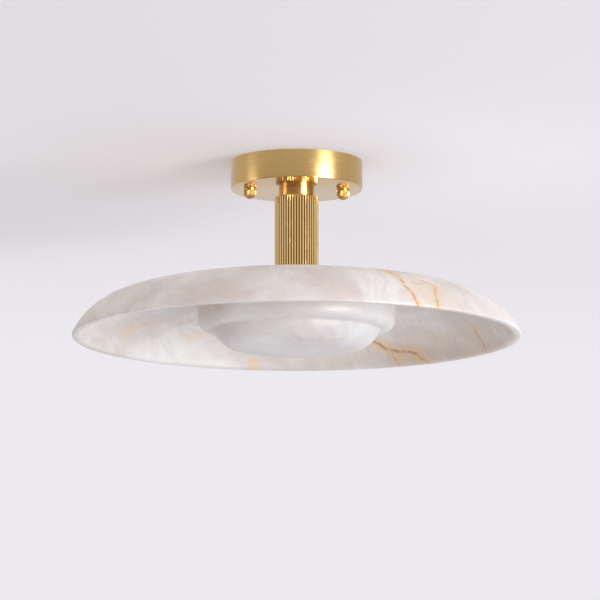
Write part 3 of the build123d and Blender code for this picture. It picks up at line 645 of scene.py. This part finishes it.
def end_tree(tree, start, end, geometry):
    """Realize instances and set the material, as each tree ends."""
    real = put(tree, "GeometryNodeRealizeInstances", {"Geometry": geometry}).outputs[0]
    feeds = {"Geometry": real, "Material": start.outputs["Material"]}
    feed(tree, end.inputs["Geometry"], put(tree, "GeometryNodeSetMaterial", feeds).outputs[0])


def groove_tree():
    """Grooves cut into a turned piece all round its Z axis; with a lean they cross, as a knurl does."""
    labels = ("Radius", "Count", "Depth", "Share", "Curve", "Lean", "Floor")
    inputs = [(label, "NodeSocketFloat") for label in labels]
    tree, start, end = geometry_group("grooves", [*inputs, ("Material", "NodeSocketMaterial")])
    split = put(tree, "ShaderNodeSeparateXYZ", {0: tree.nodes.new("GeometryNodeInputPosition").outputs[0]})
    x, y, z = split.outputs
    radius = calc(tree, "SQRT", calc(tree, "ADD", calc(tree, "MULTIPLY", x, x), calc(tree, "MULTIPLY", y, y)))
    way_round = calc(tree, "DIVIDE", calc(tree, "ARCTAN2", y, x), 2 * pi)
    turns = calc(tree, "MULTIPLY", way_round, start.outputs["Count"])
    lean = calc(tree, "MULTIPLY", z, start.outputs["Lean"])
    cuts = []
    for side in ("ADD", "SUBTRACT"):
        phase = calc(tree, "FRACT", calc(tree, "ADD", calc(tree, side, turns, lean), 0.5))
        across = calc(tree, "ABSOLUTE", calc(tree, "SUBTRACT", phase, 0.5))
        share = calc(tree, "DIVIDE", calc(tree, "MULTIPLY", across, 2.0), start.outputs["Share"])
        rise = calc(tree, "POWER", calc(tree, "MINIMUM", share, 1.0), start.outputs["Curve"])
        cuts.append(calc(tree, "SUBTRACT", 1.0, rise))
    depth = calc(tree, "MULTIPLY", calc(tree, "MAXIMUM", *cuts), start.outputs["Depth"])
    limit = calc(tree, "SUBTRACT", start.outputs["Radius"], depth)
    cut = calc(tree, "DIVIDE", calc(tree, "MINIMUM", radius, limit), calc(tree, "MAXIMUM", radius, 1e-6))
    parts = {0: calc(tree, "MULTIPLY", x, cut), 1: calc(tree, "MULTIPLY", y, cut), 2: z}
    moved = put(tree, "ShaderNodeCombineXYZ", parts)
    near = calc(tree, "GREATER_THAN", radius, start.outputs["Floor"])
    feeds = {"Geometry": start.outputs["Geometry"], "Selection": near, "Position": moved.outputs[0]}
    end_tree(tree, start, end, put(tree, "GeometryNodeSetPosition", feeds).outputs[0])
    return tree


def run_tree(mesh, tree, values, name):
    """Plain mesh that a geometry tree makes from a start mesh."""
    carrier = bpy.data.objects.new(name, mesh)
    bpy.context.scene.collection.objects.link(carrier)
    modifier = carrier.modifiers.new(name, "NODES")
    modifier.node_group = tree
    for socket in tree.interface.items_tree:
        if socket.in_out == "INPUT" and socket.name in values:
            modifier[socket.identifier] = values[socket.name]
    graph = bpy.context.evaluated_depsgraph_get()
    made = bpy.data.meshes.new_from_object(carrier.evaluated_get(graph))
    carrier.modifiers.clear()
    bpy.data.objects.remove(carrier)
    made.name = name
    return made


grooves = groove_tree()

rose_brass = satin_brass("rose_brass", mirror_level=rose_low.z)
stem_brass = satin_brass("stem_brass", rough=0.16, brushed=0.1, stretch=0.0, flute_light_radius=stem_radius)
neck_brass = satin_brass("neck_brass", rough=0.3, brushed=0.6)

# Ceiling rose
rose_floor = rose_low.z + rose_wall
rose_outline = rounded([
    (0.0, rose_low.z, 0.0),
    (rose_radius, rose_low.z, rose_round),
    (rose_radius, 0.0, sharp_round),
    (rose_radius - rose_wall, 0.0, sharp_round),
    (rose_radius - rose_wall, rose_floor, sharp_round),
    (0.0, rose_floor, 0.0),
])
rose_mesh = lathe("rose", rose_outline, rose_segments)
finish_mesh(rose_mesh)
place_piece("ceiling_rose", rose_mesh, rose_brass, "fixture", "satin_brass", "rose")

# Neck
neck_outline = rounded([
    (neck_bore, neck_low.z, 0.0),
    (neck_radius, neck_low.z, sharp_round),
    (neck_radius, neck_high.z, sharp_round),
    (neck_bore, neck_high.z, 0.0),
])
neck_mesh = lathe("neck", neck_outline, neck_segments)
finish_mesh(neck_mesh)
place_piece("turned_neck", neck_mesh, neck_brass, "fixture", "satin_brass", "neck")


# Fluted stem
def fluted_stem():
    """Sleeve with chamfered ends, cut by hollow flutes."""
    inner = stem_radius - stem_wall
    chamfer_steps = 5
    corners = [(inner, stem_low.z, 0.0)]
    for end, sign in ((stem_low.z, 1), (stem_high.z, -1)):
        rise = []
        for step in range(chamfer_steps + 1):
            inset = stem_chamfer * (1 - step / chamfer_steps)
            rise.append((stem_radius - inset, end + sign * stem_chamfer * step / chamfer_steps, 0.0))
        corners += rise[::sign]
    corners.append((inner, stem_high.z, 0.0))
    start = lathe("stem_start", rounded(corners), flute_count * segments_per_flute)
    values = {
        "Radius": stem_radius,
        "Count": float(flute_count),
        "Depth": flute_depth,
        "Share": flute_share,
        "Curve": 2.0,
        "Lean": 0.0,
        "Floor": inner + flute_floor_margin,
        "Material": stem_brass,
    }
    return run_tree(start, grooves, values, "stem")


stem_mesh = fluted_stem()
finish_mesh(stem_mesh, groove_crease)
place_piece("fluted_stem", stem_mesh, stem_brass, "fixture", "satin_brass", "stem_sleeve")


# Knurled dome nuts
def dome_nut(node, body):
    """Collar, knurled barrel and rounded end, on one stud."""
    low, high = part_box(node)
    centre = (low + high) / 2
    top = high.z
    collar_end = top - knob_collar_height
    barrel_end = collar_end - knob_barrel_height
    bore_end = top - knob_bore_depth
    edge = knob_radius - knurl_depth
    dome_height = barrel_end - low.z
    dome_arc = (edge**2 + dome_height**2) / (2 * dome_height)
    widest = asin_safe(edge / dome_arc)
    rows, dome_steps = 22, 10
    corners = [(knob_bore, top, 0.0), (knob_bore, bore_end, 0.0), (0.0, bore_end, 0.0), (0.0, low.z, 0.0)]
    for step in range(1, dome_steps + 1):
        slope = widest * step / dome_steps
        corners.append((dome_arc * sin(slope), low.z + dome_arc * (1 - cos(slope)), 0.0))
    knurl_height = collar_end - barrel_end - 2 * knurl_end_margin
    for row in range(rows + 1):
        corners.append((knob_radius, barrel_end + knurl_end_margin + knurl_height * row / rows, 0.0))
    groove = knob_collar - knob_groove_depth
    corners += [
        (edge, collar_end, 0.0),
        (groove, collar_end, 0.0),
        (groove, collar_end + knob_groove_height, 0.0),
        (knob_collar, collar_end + knob_collar_start, knob_collar_round),
        (knob_collar, top, knob_collar_round),
    ]
    look = satin_brass(f"{node}_brass", tuple(centre), rough=0.36, brushed=0.3, stretch=0.0)
    start = lathe(f"{node}_start", rounded(corners, steps=4), knurl_count * segments_per_knurl)
    values = {
        "Radius": knob_radius,
        "Count": float(knurl_count),
        "Depth": knurl_depth,
        "Share": knurl_share,
        "Curve": 1.0,
        "Lean": knurl_lean,
        "Floor": edge + knurl_floor_margin,
        "Material": look,
    }
    mesh = run_tree(start, grooves, values, node)
    mesh.transform(Matrix.Translation((centre.x, centre.y, 0)))
    finish_mesh(mesh, groove_crease)
    place_piece(node.replace("knob", "dome"), mesh, look, body, "satin_brass", node)


dome_nut("knob_nut_left", "left_knob")
dome_nut("knob_nut_right", "right_knob")

# Alabaster dish
rim_level = shade_low.z
dish_outer = dome_arcs(dish_radius, dish_height, dish_rim_angle, dish_bends)
dish_outer_cut = end_at_radius(dish_outer, upper_seat)
shoulder_centre = dish_outer[0][0]
dish_inner_start = degrees(acos(-shoulder_centre[1] / (dish_bends[0][0] - stone_wall)))
dish_inner = end_at_radius(inner_arcs(dish_outer, stone_wall, dish_inner_start), lower_seat)


def dish_outline():
    """Rim, outer dome, flat seat, hole, lower seat and inner dome."""
    outer = arc_outline(dish_outer_cut, rim_level, 1, dish_spacing)
    inner = arc_outline(dish_inner, rim_level, 1, dish_spacing)
    outer[0] = (*outer[0][:2], lip_outer_round)
    inner[0] = (*inner[0][:2], lip_inner_round)
    del outer[1], inner[1:3]
    seat, ceiling = outer[-1][1], inner[-1][1]
    hole = [(stone_hole, seat, 0.0), (stone_hole, ceiling, 0.0)]
    return rounded(outer + hole + inner[::-1])


def surface_place(reach, turn, arcs):
    """Place on the dish at a radius and an angle round it, with the way through the wall there."""
    for centre, arc_radius, start, end in arcs:
        if arc_radius * sin(radians(end)) + centre[0] <= reach:
            slope = asin_safe((reach - centre[0]) / arc_radius)
            height = rim_level + centre[1] + arc_radius * cos(slope)
            break
    around = Vector((cos(radians(turn)), sin(radians(turn)), 0))
    return around * reach + Vector((0, 0, height)), around * sin(slope) + Vector((0, 0, cos(slope)))


# Veins and stains of the dish: radius in mm and angle in degrees of each bend, line and stain widths in mm,
# then the strength of the line and of the stain. The near ones are in the outer face, the far ones inside.
near_veins = (
    (
        ((158, -66.4), (164, -65.1), (179, -64), (190.6, -64), (197, -62.8), (203, -62.4)),
        *(2.6, 11.0, 0.55, 0.85),
    ),
    (((181, -56.5), (187.6, -53.8), (195.7, -55.3), (203, -56.2)), 2.6, 10.0, 0.5, 0.9),
    (((186.5, -61.6), (186.3, -58.4), (184.4, -54.4)), 1.2, 5.0, 0.3, 0.5),
    (((197, -55.3), (203, -54.2)), 0.6, 3.0, 0.4, 0.5),
    (((188, -60), (201, -58.5)), 0.1, 17.0, 0.0, 0.35),
    (((184, -51), (200, -50.5)), 0.1, 20.0, 0.0, 0.22),
    (((140, -69), (158, -66.4)), 0.8, 9.0, 0.3, 0.4),
)
far_veins = (
    (((168, 64.5), (175.4, 62.6), (180.3, 60.6), (185.3, 58.8)), 2.8, 12.0, 0.7, 0.85),
    (((185.3, 58.8), (187.6, 55.2), (188.3, 52), (192.2, 49.3), (198.6, 45.9)), 2.8, 12.0, 0.65, 0.75),
    (((180.3, 60.6), (186.3, 57.9), (191.3, 57.8), (195, 56.6)), 1.4, 9.0, 0.5, 0.75),
    (((150, 15.5), (164.3, 18.5), (174.5, 20.1)), 0.7, 6.0, 0.4, 0.3),
    (((174.5, 20.1), (180, 19), (182.8, 21.4)), 1.0, 8.0, 0.7, 0.6),
    (((182.8, 21.4), (189.9, 22), (199, 23.2)), 0.9, 7.0, 0.85, 0.5),
    (((160, 66), (172, 64)), 0.1, 14.0, 0.0, 0.4),
    (((166, 143), (176, 148)), 0.1, 16.0, 0.0, 0.4),
    (((169.5, 117.3), (173, 123)), 0.1, 15.0, 0.0, 0.4),
    (((188, 99.5), (197, 98.2)), 0.1, 9.0, 0.0, 0.75),
    (((150, 128), (163, 133)), 0.8, 8.0, 0.35, 0.3),
    (((142, 136), (158, 141)), 0.7, 6.0, 0.3, 0.25),
)


# Alabaster tones over the stone's own two, each with its strength; then the stain and line of a vein
stone_tones = (
    ("Streaks", 0.32, paint(206, 194, 186)),
    ("Warmth", 0.32, paint(232, 217, 194)),
    ("Snow", 0.45, paint(252, 252, 253)),
)
stain_tone = paint(244, 208, 156)
line_tone = paint(186, 124, 62)


def alabaster(name, veins, across, cloudy, clear):
    """Polished alabaster with light below its surface, between a cloudy and a clear tone."""
    made, tree, shader, place = material(
        name,
        Subsurface_Weight=0.45,
        Subsurface_Scale=0.009,
        Specular_IOR_Level=0.18,
    )
    shader.inputs["Subsurface Radius"].default_value = (1.0, 0.85, 0.7)
    body = use(tree, stone_body, {"Vector": place, "Across": across})
    base = mixed(tree, body.outputs["Cloud"], cloudy, clear)
    for label, strength, tone in stone_tones:
        base = mixed(tree, calc(tree, "MULTIPLY", body.outputs[label], strength), base, tone)
    wander = vector(tree, "SUBTRACT", noise(tree, place, 110.0, 4.0, 0.6, output=1), (0.5, 0.5, 0.5))
    bent = scaled_sum(tree, wander, (0.007,) * 3, place)
    breaks = remap(tree, noise(tree, place, 170.0, 3.0, 0.6), 0.36, 0.6, 0.25, 1.0)
    spread = remap(tree, noise(tree, place, 75.0, 4.0, 0.6), 0.34, 0.66, 0.3, 1.0)
    line_total, stain_total = 0.0, 0.0
    for arcs, group in veins:
        for bends, line_width, stain_width, line_strength, stain_strength in group:
            for first, second in zip(bends, bends[1:]):
                start, through = surface_place(first[0] * MM, first[1], arcs)
                stop, _ = surface_place(second[0] * MM, second[1], arcs)
                feeds = {
                    "Vector": bent,
                    "From": start,
                    "To": stop,
                    "Through": through,
                    "Width": line_width * MM,
                    "Stain": stain_width * MM,
                }
                vein = use(tree, stone_vein, feeds)
                line = calc(tree, "MULTIPLY", vein.outputs["Line"], line_strength)
                stain = calc(tree, "MULTIPLY", vein.outputs["Stain"], stain_strength)
                line_total = calc(tree, "MAXIMUM", line, line_total)
                stain_total = calc(tree, "MAXIMUM", stain, stain_total)
    if veins:
        base = mixed(tree, calc(tree, "MULTIPLY", stain_total, spread), base, stain_tone)
        base = mixed(tree, calc(tree, "MULTIPLY", line_total, breaks), base, line_tone)
    feed(tree, shader.inputs["Base Color"], base)
    feed(tree, shader.inputs["Roughness"], remap(tree, body.outputs["Cloud"], 0.0, 1.0, 0.38, 0.48))
    bump(tree, shader, body.outputs["Snow"], 0.08, 0.0001)
    return made


dish_veins = ((dish_outer_cut, near_veins), (dish_inner, far_veins))
dish_tones = (paint(224, 215, 211), paint(243, 241, 240))
dish_stone = alabaster("dish_alabaster", dish_veins, (0.93, -0.2, 0.3), *dish_tones)
bowl_tones = (paint(232, 225, 223), paint(249, 248, 249))
bowl_stone = alabaster("bowl_alabaster", (), (0.25, 0.3, 0.92), *bowl_tones)

dish_mesh = lathe("dish", dish_outline(), dish_segments)
finish_mesh(dish_mesh, stone_crease)
place_piece("alabaster_dish", dish_mesh, dish_stone, "fixture", "alabaster", "shade")


# Alabaster bowl
def quarter_arc(centre_radius, centre_level, arc_radius, steps=14):
    """Corners of a quarter arc that goes outward and up, from level to upright."""
    corners = []
    for index in range(steps + 1):
        angle = pi / 2 * index / steps
        corners.append((centre_radius + arc_radius * sin(angle), centre_level - arc_radius * cos(angle), 0.0))
    return corners


def bowl_outline():
    """Upper tier with upright sides, ledge, and lower tier."""
    step_level = rim_level + bowl_tier_level
    depth = step_level - bowl_low.z
    top = bowl_high.z
    ledge = bowl_radius - bowl_tier_arc
    lower_radius = ledge - bowl_ledge
    lower_outer = dome_arcs(lower_radius, depth, bowl_lower_angle, ((bowl_lower_arc, None),))
    inner_rise = bowl_lower_arc * cos(radians(bowl_lower_angle)) - stone_wall
    inner_angle = 90 - degrees(asin_safe(inner_rise / (bowl_lower_arc - stone_wall)))
    lower_inner = inner_arcs(lower_outer, stone_wall, inner_angle)
    shoulder = step_level + bowl_tier_arc
    outer = arc_outline(lower_outer, step_level, -1, bowl_spacing)
    inner = arc_outline(lower_inner, step_level, -1, bowl_spacing)
    upper_inner = quarter_arc(ledge, shoulder, bowl_tier_arc - stone_wall)
    upper_outer = quarter_arc(ledge, shoulder, bowl_tier_arc)[::-1]
    # The groove's rounding takes the place of the first points of the lower tier
    while outer[0][0] > lower_radius - bowl_groove_reach and outer[0][1] > step_level - bowl_groove_reach:
        del outer[0]
    corners = (
        outer
        + inner[::-1]
        + upper_inner
        + [(bowl_radius - stone_wall, top, bowl_lip_round), (bowl_radius, top, bowl_lip_round)]
        + upper_outer
        + [(lower_radius, step_level, bowl_groove_round)]
    )
    return rounded(corners, steps=8)


bowl_mesh = lathe("bowl", bowl_outline(), bowl_segments)
finish_mesh(bowl_mesh, stone_crease)
place_piece("alabaster_bowl", bowl_mesh, bowl_stone, "bowl", "alabaster", "bowl")

# Finishes of the other pieces
zinc = plated_sheet("zinc_sheet")
zinc_turned = turned_metal("zinc_turned", paint(206, 208, 210), paint(168, 170, 174), 0.28)
brass_plain = turned_metal("plain_brass", paint(214, 182, 116), paint(180, 144, 78), 0.25)
looks = {
    "zinc_steel": zinc,
    "plain_brass": brass_plain,
    "satin_brass": satin_brass("screw_brass", brushed=0.3),
    "tinned_copper": turned_metal("tinned_copper", paint(212, 210, 205), paint(176, 172, 164), 0.3),
    "white_paint": moulded(
        "white_paint",
        paint(236, 235, 231),
        paint(224, 222, 217),
        0.45,
        grain_scale=1400.0,
        grain_depth=0.00008,
    ),
    "silicone": moulded("silicone", paint(222, 222, 218), paint(204, 204, 198), 0.5, Subsurface_Weight=0.2),
    "felt": felt(),
    "nylon": moulded("nylon", paint(232, 230, 224), paint(216, 213, 205), 0.42),
    "white_ceramic": moulded(
        "white_ceramic",
        paint(234, 229, 218),
        paint(218, 211, 197),
        0.55,
        grain_scale=1800.0,
        grain_depth=0.00005,
    ),
    "lamp_pin": turned_metal("lamp_pin", paint(214, 212, 208), paint(180, 178, 172), 0.2),
    "clear_glass": lamp_glass(),
    "phosphor": moulded("phosphor", paint(238, 206, 92), paint(226, 186, 66), 0.6),
    "brown_core": moulded("brown_core", paint(104, 66, 42), paint(84, 52, 32), 0.4),
    "blue_core": moulded("blue_core", paint(56, 96, 168), paint(40, 76, 140), 0.4),
    "green_yellow_core": striped_core(),
    "white_flex": moulded("white_flex", paint(232, 230, 224), paint(214, 211, 203), 0.42),
}
turned_nodes = ("knob_studs", "stud_nuts", "tube_washers", "tube_nuts", "centre_tube", "clamp_plate")
for row in frame["record"]["subparts"]:
    look = zinc_turned if row["node"] in turned_nodes else looks.get(row["material_slot"])
    if look is None:
        continue
    mesh = nodes[row["node"]].data
    if not mesh.materials:
        mesh.materials.append(look)
    for index in range(len(mesh.materials)):
        mesh.materials[index] = look


# Stage: a pale ceiling that is seen from below only, and a pale room that is lighter above than below.
# The lifts are the ceiling's own glow near the camera, far from it and at the right, and the ranges are
# where it grows, in metres. The glare is what the metal mirrors of the ceiling.
ceiling_tone = (0.92, 0.915, 0.95, 1.0)
near_lift = 0.12
far_lift = 0.11
right_lift = 0.06
far_range = (-0.5, 1.4)
right_range = (-0.25, 0.3)
ceiling_glare = 0.95
ceiling_glare_tone = paint(222, 221, 226)
ceiling_size = 24.0
ceiling_gap = 0.02 * MM

# Room: what the camera sees, what the metal mirrors in front and behind, and the fill from each side
room_seen = paint(228, 227, 232)
mirror_front = paint(172, 168, 166)
mirror_behind = paint(229, 230, 238)
fill_above = paint(224, 222, 226)
fill_left = paint(180, 170, 164)
fill_upper_left = paint(214, 204, 197)
fill_below = paint(212, 213, 218)

# Lamps: the place that they face, and how far the windows stand from it
light_middle = Vector((0, 0, -0.11))
window_distance = 2.0


def ceiling_look():
    """Pale matt paint below with painted light: a glow, stronger far away and at the right. Nothing shows
    from above.
    """
    made = bpy.data.materials.new("ceiling_paint")
    made.use_nodes = True
    tree = made.node_tree
    tree.nodes.clear()
    end = tree.nodes.new("ShaderNodeOutputMaterial")
    matt = put(tree, "ShaderNodeBsdfDiffuse", {"Color": ceiling_tone})
    place = tree.nodes.new("ShaderNodeTexCoord").outputs["Object"]
    x, y, _ = put(tree, "ShaderNodeSeparateXYZ", {0: place}).outputs
    # Painted light: the ceiling glows more far from the camera and at the right
    far = remap(tree, y, *far_range, 0.0, far_lift)
    right = remap(tree, x, *right_range, near_lift, near_lift + right_lift)
    level = calc(tree, "MAXIMUM", right, calc(tree, "ADD", far, near_lift))
    lift = put(tree, "ShaderNodeEmission", {"Color": ceiling_tone, "Strength": level})
    paint_and_glow = put(tree, "ShaderNodeAddShader", {0: matt.outputs[0], 1: lift.outputs[0]})
    glow = put(tree, "ShaderNodeEmission", {"Color": ceiling_glare_tone, "Strength": ceiling_glare})
    clear = tree.nodes.new("ShaderNodeBsdfTransparent")
    path = tree.nodes.new("ShaderNodeLightPath")
    back = tree.nodes.new("ShaderNodeNewGeometry")
    seen = mixed_shader(tree, path.outputs["Is Glossy Ray"], paint_and_glow, glow)
    sided = mixed_shader(tree, back.outputs["Backfacing"], seen, clear)
    feed(tree, end.inputs["Surface"], sided.outputs[0])
    return made


def ceiling(size):
    """Flat ceiling, facing down."""
    half = size / 2
    mesh = bpy.data.meshes.new("ceiling")
    corners = [(-half, -half, 0), (-half, half, 0), (half, half, 0), (half, -half, 0)]
    mesh.from_pydata(corners, [], [(0, 1, 2, 3)])
    piece = bpy.data.objects.new("ceiling", mesh)
    bpy.context.scene.collection.objects.link(piece)
    mesh.materials.append(ceiling_look())
    piece.location.z = ceiling_gap
    piece.visible_diffuse = False
    piece.visible_shadow = False


def room():
    """What the camera and the metal see, and the fill light, which comes more from above."""
    world = bpy.data.worlds.new("room")
    bpy.context.scene.world = world
    world.use_nodes = True
    tree = world.node_tree
    tree.nodes.clear()
    end = tree.nodes.new("ShaderNodeOutputWorld")
    path = tree.nodes.new("ShaderNodeLightPath")
    way = tree.nodes.new("ShaderNodeTexCoord").outputs["Generated"]
    split = put(tree, "ShaderNodeSeparateXYZ", {0: way})
    seen = put(tree, "ShaderNodeBackground", {"Color": room_seen, "Strength": 1.0})
    behind = remap(tree, split.outputs[1], -0.2, 0.5)
    mirrored = mixed(tree, behind, mirror_front, mirror_behind)
    metal = put(tree, "ShaderNodeBackground", {"Color": mirrored, "Strength": 1.0})
    above = remap(tree, split.outputs[2], -0.6, 0.5)
    right = remap(tree, split.outputs[0], -0.8, 0.5)
    upper = mixed(tree, right, fill_upper_left, fill_above)
    soft = mixed(tree, above, mixed(tree, right, fill_left, fill_below), upper)
    fill = put(tree, "ShaderNodeBackground", {"Color": soft, "Strength": 1.0})
    glossy = mixed_shader(tree, path.outputs["Is Glossy Ray"], fill, metal)
    clear = calc(tree, "MAXIMUM", path.outputs["Is Camera Ray"], path.outputs["Is Transmission Ray"])
    every = mixed_shader(tree, clear, glossy, seen)
    feed(tree, end.inputs["Surface"], every.outputs[0])


def aim_lamp(name, lamp, turn, below, distance):
    """Lamp object turned that far right of the camera's side and below the ceiling, facing the light."""
    level = cos(radians(below))
    out = Vector((sin(radians(turn)) * level, -cos(radians(turn)) * level, -sin(radians(below))))
    holder = bpy.data.objects.new(name, lamp)
    bpy.context.scene.collection.objects.link(holder)
    holder.location = light_middle + out * distance
    holder.rotation_euler = (-out).to_track_quat("-Z", "Y").to_euler()
    holder.visible_camera = False
    return holder


def card(name, turn, below, distance, width, height, power):
    """Bright card that only the metal and the polish mirror."""
    lamp = bpy.data.lights.new(name, "AREA")
    lamp.shape = "RECTANGLE"
    lamp.size, lamp.size_y = width, height
    lamp.energy = power
    lamp.use_nodes = True
    tree = lamp.node_tree
    depth = put(tree, "ShaderNodeLightPath").outputs["Diffuse Depth"]
    direct = calc(tree, "LESS_THAN", depth, 0.5)
    feed(tree, tree.nodes["Emission"].inputs["Strength"], direct)
    aim_lamp(name, lamp, turn, below, distance).visible_diffuse = False


def window(name, turn, below, strength, spread, colour):
    """Broad daylight from one side, without falloff."""
    lamp = bpy.data.lights.new(name, "SUN")
    lamp.energy = strength
    lamp.angle = radians(spread)
    lamp.color = colour
    aim_lamp(name, lamp, turn, below, window_distance).visible_glossy = False


ceiling(ceiling_size)
room()
window("key", turn=48, below=18, strength=1.15, spread=22, colour=(0.97, 0.98, 1.0))
window("upper", turn=62, below=-16, strength=0.65, spread=40, colour=(1.0, 0.99, 0.99))
card("right_card", turn=48, below=26, distance=2.4, width=0.95, height=2.4, power=250)
card("left_card", turn=-86, below=14, distance=2.6, width=0.9, height=1.5, power=12)

camera = bpy.data.cameras.new("camera")
camera.lens, camera.sensor_width = camera_lens, camera_sensor
camera.clip_end = camera_reach
viewer = bpy.data.objects.new("camera", camera)
bpy.context.scene.collection.objects.link(viewer)
viewer.location = camera_place
viewer.rotation_euler = (radians(90 + camera_pitch), 0, radians(camera_turn))
bpy.context.scene.camera = viewer
bpy.context.scene.view_settings.view_transform = "Standard"
